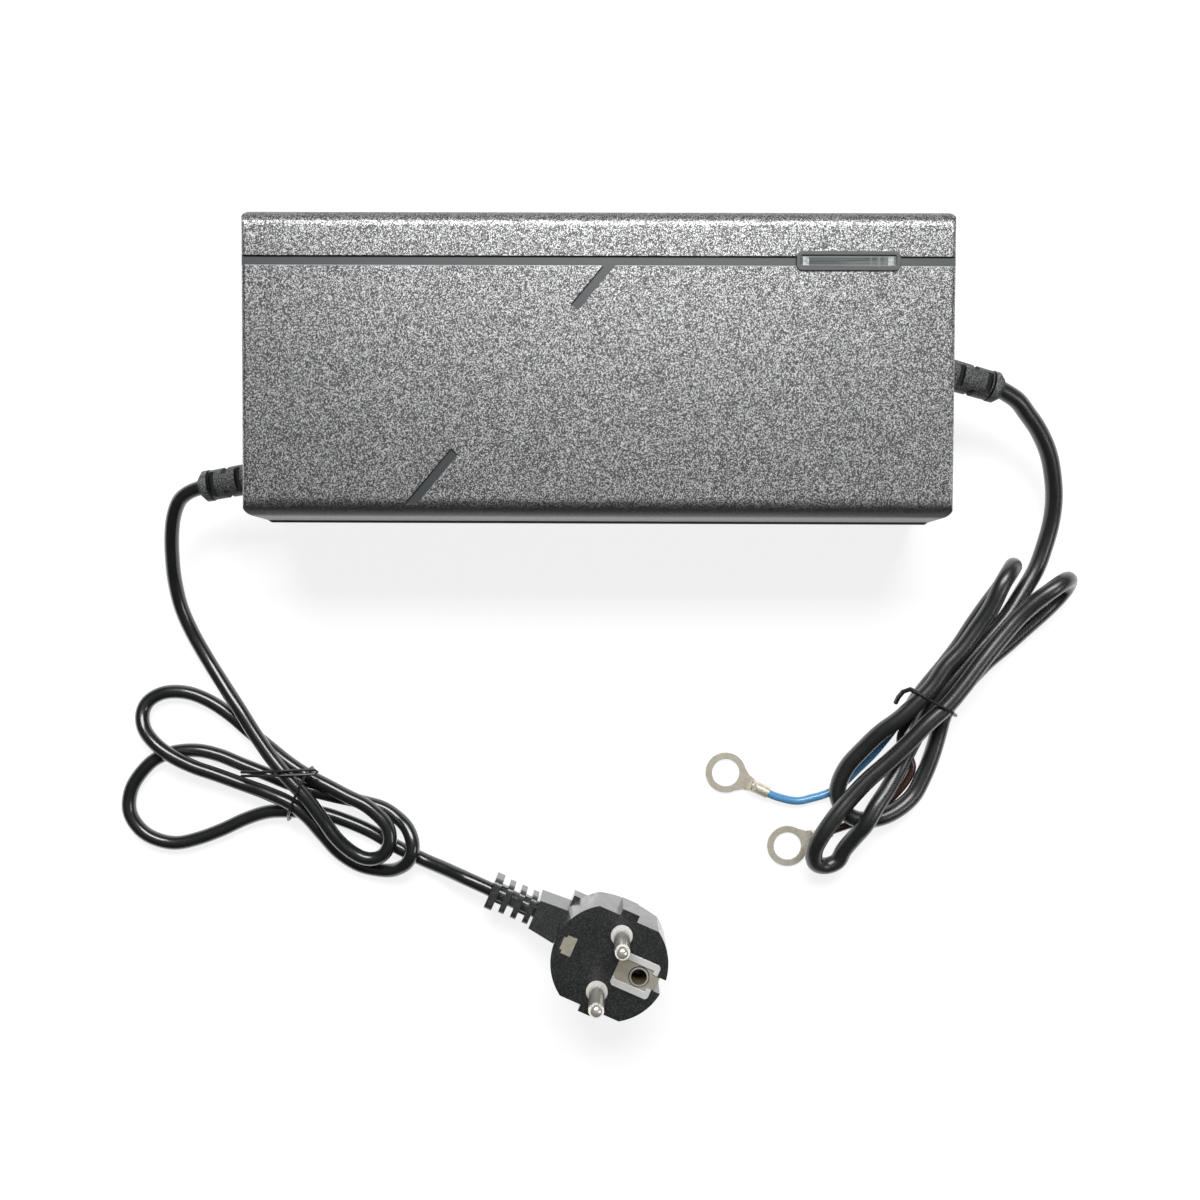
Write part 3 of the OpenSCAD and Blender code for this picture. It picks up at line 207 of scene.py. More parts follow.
# %% Routes of the leads
mains_route = [
    (-122.7, -34.5, 22.5), (-127, -36, 21.4), (-130.5, -38.5, 19.9), (-133, -43, 17.8),
    (-134.5, -48.5, 15.4), (-135.5, -55, 12.4), (-136, -63, 8.8), (-135, -72, 5.8),
    (-132, -80.5, 4), (-127, -89.5, 3.8), (-121.5, -97.5, 5.2), (-116, -105, 7.2),
    (-111, -112.5, 8.2), (-105.5, -120, 9.2), (-99.5, -127, 10.2), (-93.5, -133.5, 10.4),
    (-88.5, -140.5, 9.8), (-84.5, -146.5, 8.8), (-80, -151, 7.9), (-75.5, -153.5, 7.5),
    (-71.5, -153.5, 7.5), (-68.5, -151.5, 7.7), (-67, -147.5, 7.7), (-68, -143, 7.6),
    (-71, -139.5, 7.5), (-75.5, -136, 7.4), (-81, -133.5, 6.9), (-87, -130.5, 6.4),
    (-94, -127, 5.9), (-100.5, -123, 5), (-107.5, -118, 3.2), (-114, -113, 2.4),
    (-120.5, -107.5, 2.3), (-127.5, -103, 2.3), (-134.5, -100.5, 2.3), (-141.5, -100.5, 2.3),
    (-146.5, -103, 2.5), (-148.5, -107, 3.4), (-147.5, -112, 5), (-143.5, -116.5, 6.8),
    (-138, -120.5, 7.4), (-131.5, -124, 6.6), (-123.5, -127, 5.6), (-115, -130, 5.8),
    (-107, -132.5, 7.2), (-99.5, -135.5, 8.3), (-94, -140, 7.6), (-89.5, -146, 5.6),
    (-84.5, -152.5, 3.4), (-78, -157, 2.4), (-71, -158.5, 2.8), (-66, -158, 4.2),
    (-62, -155.5, 6.4), (-60, -152, 7.2), (-60, -148, 6.6), (-62, -144, 4.9),
    (-65.5, -141, 3.2), (-70.5, -138, 2.4), (-78, -136, 2.3), (-85, -134.5, 2.4),
    (-92.5, -132.5, 3.2), (-100.5, -130, 3.6), (-108.5, -127, 2.8), (-116.5, -124, 2.3),
    (-124, -121, 2.3), (-131, -119.5, 2.3), (-138.5, -120, 2.3), (-145, -122.5, 2.3),
    (-150, -127.5, 2.3), (-153, -133, 2.3), (-153.5, -139.5, 2.3), (-150.5, -145, 2.3),
    (-145.5, -148.5, 2.3), (-138.5, -150, 2.3), (-131, -148.5, 2.3), (-123, -145.5, 2.3),
    (-115.5, -142, 2.3), (-108, -139.5, 3), (-100.5, -139, 3.6), (-92, -139.5, 2.6),
    (-83.5, -142, 2.3), (-74, -146, 2.3), (-65.5, -151, 2.3), (-57, -155, 2.6),
    (-49.5, -157.5, 5), (-42, -160, 8), (-34.3, -163.3, 8.6),
]
dc_route = [
    (123.8, -3.3, 21.5), (129.5, -6.5, 20.2), (133.5, -10.5, 18.2), (138, -15.5, 15.6),
    (142, -22, 12.8), (144.5, -29, 10), (146, -36.5, 7.2), (146, -44, 4.8),
    (144.5, -51.5, 3.4), (142, -59, 3), (137.5, -66.5, 3.8), (132, -74.5, 5.2),
    (126, -81, 6.3), (119.5, -88, 7.3), (113.5, -95, 8.1), (108, -102, 8.2),
    (104.5, -109, 7.6), (101.5, -115.5, 6.7), (98, -122.5, 6.8), (94, -129, 9),
    (89.5, -135, 11.2), (86, -141, 11.4), (83, -145.5, 9.2), (80, -150, 7.2),
    (78, -154, 6.2), (74, -155.5, 6.4), (70.5, -154, 8), (70, -149.5, 10.2),
    (72, -144.5, 11.8), (76, -138.5, 12.2), (81, -132.5, 11.8), (86.5, -126.5, 11.9),
    (93, -120.5, 12.4), (99, -114.5, 13), (105, -108, 13.4), (111, -102.5, 13.4),
    (116, -96.5, 13.2), (122, -88.5, 12.8), (128, -81, 12.3), (133.5, -74.5, 12.4),
    (138.5, -69.5, 13.4), (143.5, -65.5, 14.2), (147.5, -63, 12.8), (150.5, -62.5, 8.8),
    (151, -65, 4.8), (148.5, -69, 2.9), (144, -73.5, 2.8), (139, -78, 2.8),
    (133, -83.5, 2.8), (126.5, -89, 3.1), (121, -94.5, 3.7), (116, -100, 3.9),
    (112.5, -106.5, 3.7), (111, -113, 2.8), (109, -120, 2.8), (106.5, -126.5, 2.8),
    (103, -133, 3.2), (97.5, -137.5, 4.4), (91.5, -140, 5.4), (85, -140.5, 5.7),
    (80.5, -138, 5.7), (78, -133, 5.8), (78.5, -128, 6.2), (81, -122.5, 7.2),
    (85.5, -117, 8.6), (90.5, -111.5, 10.4), (96.5, -106.5, 12.3), (102, -101, 13.2),
    (106.5, -96, 13.4), (110.5, -90, 13.5), (115.5, -84.5, 13.7), (120, -78, 14),
    (124, -71.5, 14.8), (127, -64.5, 15.6), (130, -60, 14), (132.5, -58, 9.8),
    (133, -60, 5.2), (130.5, -65, 2.9), (126.5, -70.5, 2.8), (122, -77, 2.8),
    (117.5, -84, 2.9), (112.5, -90.5, 3.4), (107.5, -96.5, 3.9), (103.5, -102, 3.7),
    (101, -107, 3.1), (98, -111.5, 2.8),
]
print("points in the two routes:", len(mains_route), len(dc_route))

# %% [markdown]
# ## From points to cable
# A straight line from point to point would show a corner at each. The handles of every point lie along the
# line between its two neighbours, a sixth of that way out on each side, and that is the curve that bends
# most evenly through all of them. The same curve is walked in short steps to measure the cable's length.


# %% Leads as curves
def curve_along(name, points_mm, thick_mm, smooth=5):
    """A round cord through the points, as one open Bezier curve."""
    data = bpy.data.curves.new(name, "CURVE")
    data.dimensions = "3D"
    data.bevel_depth = 1
    data.bevel_resolution = smooth
    data.resolution_u = 6
    data.use_fill_caps = True
    spline = data.splines.new("BEZIER")
    points = [Vector(p) * MM for p in points_mm]
    spline.bezier_points.add(len(points) - 1)
    for i, bead in enumerate(spline.bezier_points):
        handle = (points[min(i + 1, len(points) - 1)] - points[max(i - 1, 0)]) / 6
        bead.co = points[i]
        bead.radius = thick_mm / 2 * MM  # with a bevel of 1 m, and it keeps the curve's own box tight
        bead.handle_left_type = bead.handle_right_type = "FREE"
        bead.handle_left, bead.handle_right = points[i] - handle, points[i] + handle
    cord = bpy.data.objects.new(name, data)
    bpy.context.collection.objects.link(cord)
    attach(cord, "root")
    return cord


def length_of(points_mm, steps=12):
    """Length of the same curve in metres, measured along short steps."""
    total = 0
    last = len(points_mm) - 1
    for i in range(last):
        p0, p1, p2, p3 = (Vector(points_mm[k]) for k in (max(i - 1, 0), i, i + 1, min(i + 2, last)))
        before = p1
        for k in range(1, steps + 1):
            t = k / steps
            here = 0.5 * (2 * p1 + (p2 - p0) * t + (2 * p0 - 5 * p1 + 4 * p2 - p3) * t * t
                          + (3 * p1 - p0 - 3 * p2 + p3) * t ** 3)
            total += (here - before).length
            before = here
    return total * MM


MAINS_THICK, DC_THICK, WIRE_THICK = 4.6, 5.5, 2.7  # millimetres across
mains_lead = curve_along("mains_lead_jacket", mains_route, MAINS_THICK)
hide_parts("mains_lead")
dc_lead = curve_along("battery_lead_jacket", dc_route, DC_THICK)
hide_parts("dc_lead")
print("lead lengths in metres:", round(length_of(mains_route), 3), round(length_of(dc_route), 3))

# %% [markdown]
# ## The two battery wires
# The jacket of the battery lead stops short, and a blue and a brown core come out of it side by side and
# run into the crimp barrels of the ring terminals. They are cords too, only thin and short, so they are
# made in the same way.

# %% Battery wires
BARREL_ENDS = (17.6, 11.1)  # the barrel's mouth and the wire's end, from the ring's centre
WIRE_GAP = 0.02
leaving = Vector((-0.56, -0.83, 0)).normalized()
aside = leaving.cross(Vector((0, 0, 1)))
jacket_end = Vector(dc_route[-1])


def into_barrel(ring_at, angle, distances, axis_height=2):
    """Points on the axis of a crimp barrel, at these distances from the ring's centre."""
    along = Vector((math.cos(math.radians(angle)), math.sin(math.radians(angle)), 0))
    return [Vector((*ring_at, axis_height)) + along * d for d in distances]


negative_route = [
    (94.3, -114.6, 2), (90, -120, 1.5), (85, -125, 1.4), (80.5, -129.5, 1.4), (76, -132.5, 1.4),
    (70.5, -134.3, 1.4), (65, -135.3, 1.5),
]
positive_route = [
    (99, -115.8, 1.9), (101.5, -119.5, 1.4), (103, -124, 1.4), (101.5, -128, 1.4), (98.5, -132, 1.4),
    (94.5, -136, 1.4), (90.5, -139.3, 1.4), (86, -141.8, 1.5),
]
wires = []
for name, side, route, ring_at, angle in (
    ("negative_wire", 1, negative_route, (42.1, -126.2), -25),
    ("positive_wire", -1, positive_route, (62.5, -150.3), 20.5),
):
    first = jacket_end + aside * side * (WIRE_THICK / 2 + WIRE_GAP)
    points = [tuple(first)] + route + [tuple(p) for p in into_barrel(ring_at, angle, BARREL_ENDS)]
    wire = curve_along(name + "_core", points, WIRE_THICK, smooth=4)
    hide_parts(name)
    wires.append((wire, points))
    print(name, "length in metres:", round(length_of(points), 3))
negative_wire, positive_wire = wires[0][0], wires[1][0]

# %% [markdown]
# ## Rounded edges
# No moulded or stamped part has a knife edge, and under a lamp each edge carries a thin line of light. The
# solids are sharp, so the visible ones are copied. A copy's loose triangles are merged, its flat faces are
# joined again, and a bevel rounds the edges that are sharper than a given angle.

# %% Rounded copies
SAME_POINT = 0.002 * MM
SAME_PLANE, SMOOTH_BELOW, ROUND_ABOVE = math.radians(0.4), math.radians(30), math.radians(38)


def rounded_copy(node_name, width_mm):
    """A copy of a solid with rounded edges, shown in the solid's place."""
    piece = bpy.data.objects.new(node_name + "_rounded", nodes[node_name].data.copy())
    bpy.context.collection.objects.link(piece)
    bpy.ops.object.select_all(action="DESELECT")
    piece.select_set(True)
    bpy.context.view_layer.objects.active = piece
    bpy.ops.object.mode_set(mode="EDIT")
    bpy.ops.mesh.select_all(action="SELECT")
    bpy.ops.mesh.customdata_custom_splitnormals_clear()
    bpy.ops.mesh.remove_doubles(threshold=SAME_POINT)
    bpy.ops.mesh.dissolve_limited(angle_limit=SAME_PLANE)
    bpy.ops.object.mode_set(mode="OBJECT")
    bpy.ops.object.shade_smooth_by_angle(angle=SMOOTH_BELOW)
    rounding = piece.modifiers.new("rounding", "BEVEL")
    rounding.width = width_mm * MM
    rounding.segments = 2
    rounding.limit_method = "ANGLE"
    rounding.angle_limit = ROUND_ABOVE
    rounding.harden_normals = True
    bpy.ops.object.modifier_apply(modifier="rounding")
    flatness = piece.modifiers.new("flatness", "WEIGHTED_NORMAL")
    flatness.keep_sharp = True
    bpy.ops.object.modifier_apply(modifier="flatness")
    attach(piece, "root")
    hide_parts(node_name)
    print(piece.name, "faces:", len(piece.data.polygons))
    return piece


EDGE_WIDTHS = {
    "top_cover": 0.16, "bottom_cover": 0.3, "window_bezel": 0.2, "mains_relief": 0.4, "dc_relief": 0.4,
    "plug_body": 0.45, "earth_carrier": 0.3, "pin_collars": 0.15, "earth_strip": 0.12,
    "negative_terminal": 0.15, "positive_terminal": 0.15,
}
rounded = {name: rounded_copy(name, width) for name, width in EDGE_WIDTHS.items()}

# %% [markdown]
# ## Cord lengths
# The lengths of the two leads and the two battery wires are measured along their curves.

# %% Cord facts
round(length_of(mains_route), 3)
round(length_of(dc_route), 3)
for (wire, points), terminal in zip(wires, ("negative_terminal", "positive_terminal")):
    round(length_of(points), 3)

# %% [markdown]
# ## Grained top cover
# The top cover has a coarse spark-eroded grain that sparkles under a lamp, and the lines cut into it are
# smooth. An image of the grain would be the quick way, but grains on Object coordinates give the same
# sparkle on every side. Noise draws worms at this size. The cut lines are found by their depth, a little
# under the flat top, and the groove also runs out at both ends. Towards the front and back edges, where
# they turn down, the skin is painted darker as painted shade, and its flecks and coat fade there too. A
# thin pale line along the groove's lower lip is a painted highlight.

# %% Top cover
TOP = 50.0
CUT_HIGH, CUT_LOW = TOP - 0.25, TOP - 0.8
GROOVE_Y, GROOVE_HALF = 29.25, 1.4
LIP_Y, LIP_HALF, LIP_LOW = 27.9, 0.16, TOP - 0.3
FLAT_HALF, FLAT_FRONT, FLAT_BACK = 101, -40.5, 39.5
FRONT_SHADE_DEEPEST, FRONT_SHADE_START, BACK_SHADE_START, BACK_SHADE_DEEPEST = -41.8, -38.2, 41.2, 42.6
GRAIN, FLECK = 0.26, 0.24
cover = Finish("grained_cover", Specular_IOR_Level=1.0, Coat_Roughness=0.3)
height = cover.axis("Z")
across = cover.axis("Y")
shallow = (height < CUT_HIGH * MM) * (height > CUT_LOW * MM)
on_top = (abs(cover.axis("X")) < FLAT_HALF * MM) * (across < FLAT_BACK * MM) * (across > FLAT_FRONT * MM)
in_groove = abs(across - GROOVE_Y * MM) < GROOVE_HALF * MM
in_line = shallow * (1 - (1 - on_top) * (1 - in_groove))
plain = 1 - in_line
# painted shade: the skin is darkened, and flecks and coat fade, towards the front and back edges
front_painted_shade = cover.level(across, FRONT_SHADE_DEEPEST * MM, FRONT_SHADE_START * MM, 0.92, 0)
back_painted_shade = cover.level(across, BACK_SHADE_START * MM, BACK_SHADE_DEEPEST * MM, 0, 0.5)
outside_painted_shade = 1 - front_painted_shade - back_painted_shade
grain = cover.grains(GRAIN)
fleck = cover.level(cover.grains(FLECK), 0.60, 0.65) * plain * outside_painted_shade
tone = cover.level(grain, 0.42, 0.60) * outside_painted_shade
# painted highlight: a thin pale line along the lower lip of the groove
lip_highlight = (abs(across - LIP_Y * MM) < LIP_HALF * MM) * (height > LIP_LOW * MM)
skin = cover.blend(tone, (0.007, 0.0075, 0.008), (0.060, 0.062, 0.062))
skin = cover.blend(fleck, skin, (0.66, 0.67, 0.67))
skin = cover.blend(in_line, skin, (0.024, 0.031, 0.033))
skin = cover.blend(lip_highlight, skin, (0.50, 0.52, 0.52))
cover.set(
    Base_Color=skin,
    Metallic=fleck,
    Roughness=cover.level(in_line, 0, 1, 0.44, 0.4),
    Coat_Weight=cover.level(tone, 0, 1, 0.1, 0.9) * plain * outside_painted_shade,
    Normal=cover.bump(grain * plain, 0.1),
)
cover.on(rounded["top_cover"])
print("nodes in the cover's finish:", len(cover.tree.nodes))

# %% [markdown]
# ## Bottom cover
# The lower shell is the same plastic with a finer and duller texture, so soft noise is enough for it. Its
# front ledge catches the light along the seam, and is given a paler colour there.

# %% Bottom cover
LEDGE_Y = -44.85
base = Finish("grained_base", Roughness=0.55)
ledge = base.axis("Y") < LEDGE_Y * MM
base_skin = base.blend(base.noise(0.8, detail=3), (0.036, 0.038, 0.039), (0.062, 0.064, 0.065))
base.set(
    Base_Color=base.blend(ledge, base_skin, (0.26, 0.27, 0.27)),
    Normal=base.bump(base.noise(0.6, detail=2), 0.06),
)
base.on(rounded["bottom_cover"])
print("nodes in the base's finish:", len(base.tree.nodes))

# %% [markdown]
# ## Cable finishes
# New PVC cable is almost black, glossy on the mains lead and more satin on the battery lead. It isn't a
# perfect cylinder: the jacket follows the twisted cores under it in a very shallow wave. A low noise in the
# bump gives the highlights that gentle wobble. The two battery wires wear brighter, glossier PVC.

# %% Cables
cable = Finish("glossy_cable", Roughness=0.3, Coat_Weight=0.8, Coat_Roughness=0.14)
cable.set(
    Base_Color=cable.blend(cable.noise(3, detail=2), (0.010, 0.011, 0.0115), (0.018, 0.019, 0.019)),
    Roughness=cable.level(cable.noise(6, detail=3), 0.3, 0.7, 0.26, 0.36),
    Normal=cable.bump(cable.noise(7, detail=1), 0.12),
)
cable.on(mains_lead)
satin = Finish("satin_cable", Roughness=0.4, Coat_Weight=0.7, Coat_Roughness=0.27)
satin.set(
    Base_Color=satin.blend(satin.noise(3), (0.013, 0.0138, 0.014), (0.021, 0.022, 0.022)),
    Roughness=satin.level(satin.noise(5, detail=3), 0.3, 0.7, 0.35, 0.45),
    Normal=satin.bump(satin.noise(6, detail=1), 0.08),
)
satin.on(dc_lead)
for name, low, high, piece in (
    ("blue_core", (0.09, 0.34, 0.66), (0.14, 0.43, 0.78), negative_wire),
    ("brown_core", (0.05, 0.018, 0.010), (0.075, 0.028, 0.016), positive_wire),
):
    core = Finish(name, Roughness=0.3, Coat_Weight=0.6, Coat_Roughness=0.2)
    core.set(
        Base_Color=core.blend(core.noise(2), low, high),
        Normal=core.bump(core.noise(4, detail=1), 0.06),
    )
    core.on(piece)
print("cables finished")

# %% [markdown]
# ## Strain reliefs
# A strain relief is rubber moulded over the cable where it leaves the case, with slots that let it bend. It
# is matt with a coarse grit. The slots are too deep for much light to reach their floor, so everything
# nearer to the relief's axis than the slot floor is painted darker.

# %% Strain reliefs
SEAM_Z, HALF_LEN = 25, 103.5
MAINS_OUTLET_Y, DC_OUTLET_Y = -31.3, 1.7
SLOT_FLOOR, SLOT_MOUTH = 4.4, 4.8  # from the axis
for node_name, outlet, tail_end in (
    ("mains_relief", (-HALF_LEN, MAINS_OUTLET_Y, SEAM_Z), mains_route[0]),
    ("dc_relief", (HALF_LEN, DC_OUTLET_Y, SEAM_Z), dc_route[0]),
):
    axis_start = Vector(outlet) * MM
    axis = (Vector(tail_end) - Vector(outlet)).normalized()
    relief = Finish("rubber_of_" + node_name, Roughness=0.5)
    from_axis = relief.from_line(tuple(axis_start), tuple(axis))
    in_slot = relief.level(from_axis, SLOT_FLOOR * MM, SLOT_MOUTH * MM, 1, 0)
    grit = relief.level(relief.noise(0.4, detail=2, roughness=0.6), 0.44, 0.62)
    skin = relief.blend(grit, (0.028, 0.030, 0.030), (0.3, 0.312, 0.31))
    relief.set(
        Base_Color=relief.blend(in_slot, skin, (0.005, 0.0055, 0.0055)),
        Normal=relief.bump(relief.noise(0.5, detail=2), 0.1),
    )
    relief.on(rounded[node_name])
print("reliefs finished: 2")

# %% [markdown]
# ## Plug body
# The plug is one block of black PVC moulded round the pins. Its sides are painted a paler black than
# its face, as a painted sheen, so two skins are blended by height. Fine grains keep both from looking
# painted.

# %% Plug body
PLUG_FACE = 28
FACE_LOW, FACE_HIGH = PLUG_FACE - 0.9, PLUG_FACE - 0.4
plug = Finish("plug_black", Roughness=0.5, Coat_Weight=0.9, Coat_Roughness=0.14)
on_face = plug.level(plug.axis("Z"), FACE_LOW * MM, FACE_HIGH * MM)
speck = plug.level(plug.grains(0.3), 0.5, 0.8)
# painted sheen: the sides are a paler black than the face
painted_sheen_sides = plug.blend(speck, (0.030, 0.033, 0.034), (0.075, 0.08, 0.08))
face = plug.blend(speck, (0.011, 0.012, 0.0125), (0.052, 0.055, 0.056))
plug.set(
    Base_Color=plug.blend(on_face, painted_sheen_sides, face),
    Roughness=plug.level(plug.noise(4, detail=4), 0.3, 0.7, 0.42, 0.56),
    Normal=plug.bump(plug.noise(0.5, detail=3, roughness=0.6), 0.05),
)
plug.on(rounded["plug_body"])
print("nodes in the plug's finish:", len(plug.tree.nodes))

# %% [markdown]
# ## White plastic
# The collars of the pins and the carrier of the earth socket are white nylon. The bottom of the socket is
# in deep shade on the real plug, so the carrier is painted brown within a small distance of its axis.

# %% White plastic
SOCKET_AT = (0.01326, -0.18522)  # metres
UP = (0, 0, 1)
WELL = 2.6
white = Finish("white_insulator", Roughness=0.35)
in_well = white.from_line((*SOCKET_AT, 0), UP) < WELL * MM
pale = white.blend(white.noise(2), (0.78, 0.78, 0.75), (0.86, 0.86, 0.84))
white.set(Base_Color=white.blend(in_well, pale, (0.20, 0.16, 0.10)))
white.on(rounded["pin_collars"], rounded["earth_carrier"])
print("white pieces finished: 2")

# %% [markdown]
# ## Pins
# The pins are plated brass. A full mirror metal shows only what is round it, and on a white table that is
# pale in one view and black in the next. All the metals here get some body colour as well, as the satin
# plating of cheap hardware has.

# %% Pins
plated = Finish("plated_brass", Metallic=0.65, Roughness=0.22)
plated.set(
    Base_Color=plated.blend(plated.noise(3, detail=3), (0.86, 0.83, 0.76), (0.96, 0.93, 0.86)),
    Roughness=plated.level(plated.noise(3, detail=2), 0.3, 0.7, 0.18, 0.26),
)
plated.on(nodes["plug_pins"])
print("pins finished")

# %% [markdown]
# ## Earth contact
# The contact is a pressed strip with a rolled socket in its middle. The rings round the socket are found by
# their distance from its axis: first the bore, a darker brass with painted shade, then the rim as a painted
# highlight, and a thin dark line of painted shade where the rim meets the plate.

# %% Earth contact
BORE, RIM = 2.47, 3.0
RIM_LINE, RIM_LINE_HALF = 3.15, 0.16
contact = Finish("contact_plating", Metallic=0.6, Roughness=0.36)
from_socket = contact.from_line((*SOCKET_AT, 0), UP)
# painted shade: a thin dark ring where the rim meets the plate
rim_crease_shade = abs(from_socket - RIM_LINE * MM) < RIM_LINE_HALF * MM
plating_and_painted_rim = contact.blend(contact.noise(2, detail=3), (0.66, 0.61, 0.48), (0.95, 0.90, 0.77))
# painted highlight: a bright rim round the socket
plating_and_painted_rim = contact.blend(from_socket < RIM * MM, plating_and_painted_rim, (0.92, 0.89, 0.80))
plating_and_painted_rim = contact.blend(rim_crease_shade, plating_and_painted_rim, (0.12, 0.11, 0.09))
contact.set(
    # painted shade: the bore is a darker brass, brass in colour and darkened as shade in the hole
    Base_Color=contact.blend(from_socket < BORE * MM, plating_and_painted_rim, (0.42, 0.36, 0.24)),
    Roughness=contact.level(contact.noise(1.2, detail=3), 0.3, 0.7, 0.3, 0.42),
)
contact.on(rounded["earth_strip"])
print("nodes in the contact's finish:", len(contact.tree.nodes))

# %% [markdown]
# ## Ring terminals
# The rings are stamped from tinned copper and feel slightly grainy, so the tin has uneven gloss and a very
# low bump besides its blotchy colour.

# %% Ring terminals
tin = Finish("dull_tin", Metallic=0.6, Roughness=0.42)
tin.set(
    Base_Color=tin.blend(tin.noise(1.6, detail=4), (0.72, 0.66, 0.53), (0.96, 0.92, 0.80)),
    Roughness=tin.level(tin.noise(1, detail=3), 0.3, 0.7, 0.34, 0.5),
    Normal=tin.bump(tin.noise(0.5, detail=3), 0.02),
)
tin.on(rounded["negative_terminal"], rounded["positive_terminal"])
print("terminals finished: 2")

# %% [markdown]
# ## Cable ties
# The ties are plain black plastic straps. They are thin, so the solids are used as they are, and only get
# a slightly uneven black.

# %% Cable ties
tie = Finish("tie_plastic", Roughness=0.35)
tie.set(Base_Color=tie.blend(tie.noise(2), (0.012, 0.012, 0.013), (0.03, 0.03, 0.031)))
tie.on(nodes["mains_tie"], nodes["dc_tie"])
print("ties finished: 2")

# %% [markdown]
# ## Bezel
# The bezel is a smooth frame round the indicator window, a little paler than the grained cover.

# %% Bezel
bezel = Finish("bezel_smooth", Roughness=0.3)
bezel.set(Base_Color=bezel.blend(bezel.noise(2), (0.12, 0.128, 0.13), (0.15, 0.158, 0.16)))
bezel.on(rounded["window_bezel"])
print("bezel finished")

# %% [markdown]
# ## Lens
# The window is a smoky acrylic strip. A pale lamp shows through at each end, two thin rails run along it,
# and faint pale streaks run along its length. Modelling what lies behind smoked plastic would hardly
# show, so the marks are drawn in the strip's own colour, by distance from its middle.

# %% Lens
WINDOW_X, WINDOW_Y = 71.7, 29.25
LAMP_AT, LAMP_HALF, LAMP_TALL = 12.2, 0.85, 1.25
RAIL_AT, RAIL_HALF = 1.15, 0.12
RIBS_FROM = WINDOW_X + 6
lens = Finish("smoky_acrylic", Roughness=0.08)
along = lens.axis("X")
from_middle = abs(along - WINDOW_X * MM)
from_axis = abs(lens.axis("Y") - WINDOW_Y * MM)
at_lamp = (abs(from_middle - LAMP_AT * MM) < LAMP_HALF * MM) * (from_axis < LAMP_TALL * MM)
rail = abs(from_axis - RAIL_AT * MM) < RAIL_HALF * MM
streaks = lens.level(lens.noise(4, detail=4, roughness=0.6, stretch=(0.12, 2.5, 1)), 0.35, 0.65)
ribs = lens.level(lens.noise(1.2, detail=2, stretch=(1, 0.05, 1)), 0.4, 0.6) * (along > RIBS_FROM * MM)
smoke = lens.blend(streaks, (0.13, 0.15, 0.15), (0.34, 0.37, 0.36))
smoke = lens.blend(ribs, smoke, (0.36, 0.39, 0.38))
smoke = lens.blend(rail, smoke, (0.40, 0.43, 0.42))
lamp_glass = lens.blend(lens.level(lens.noise(0.9), 0.35, 0.65), (0.40, 0.43, 0.42), (0.8, 0.82, 0.8))
lens.set(
    Base_Color=lens.blend(at_lamp, smoke, lamp_glass),
    Alpha=lens.level(at_lamp, 0, 1, 0.8, 1),
)
lens.on(nodes["window_lens"])
print("nodes in the lens's finish:", len(lens.tree.nodes))

# %% [markdown]
# ## Lamps, screws and feet
# The two lamps are frosted plastic, faintly tinted while they are off. The black screws and the rubber feet
# are on the underside. Each is small, so two close colours and the right gloss are enough.

# %% Lamps, screws and feet
for name, low, high, node in (
    ("frosted_red_lamp", (0.72, 0.62, 0.60), (0.8, 0.72, 0.7), "power_lamp"),
    ("frosted_green_lamp", (0.62, 0.72, 0.64), (0.72, 0.8, 0.74), "charge_lamp"),
):
    lamp = Finish(name, Roughness=0.3)
    lamp.set(Base_Color=lamp.blend(lamp.noise(1), low, high))
    lamp.on(nodes[node])
steel = Finish("black_steel", Metallic=1.0, Roughness=0.4)
steel.set(Base_Color=steel.blend(steel.noise(1), (0.04, 0.04, 0.045), (0.07, 0.07, 0.075)))
steel.on(nodes["case_screws"])
rubber = Finish("foot_rubber", Roughness=0.8)
rubber.set(
    Base_Color=rubber.blend(rubber.noise(1), (0.016, 0.016, 0.016), (0.03, 0.03, 0.03)),
    Normal=rubber.bump(rubber.noise(0.5), 0.05),
)
rubber.on(nodes["rubber_feet"])
print("fittings finished")

# %% [markdown]
# ## Inside the case
# Nothing inside can be seen, yet every piece is kept, so each one still gets a simple finish of its own:
# two close colours mixed by noise, with the gloss of the real material.

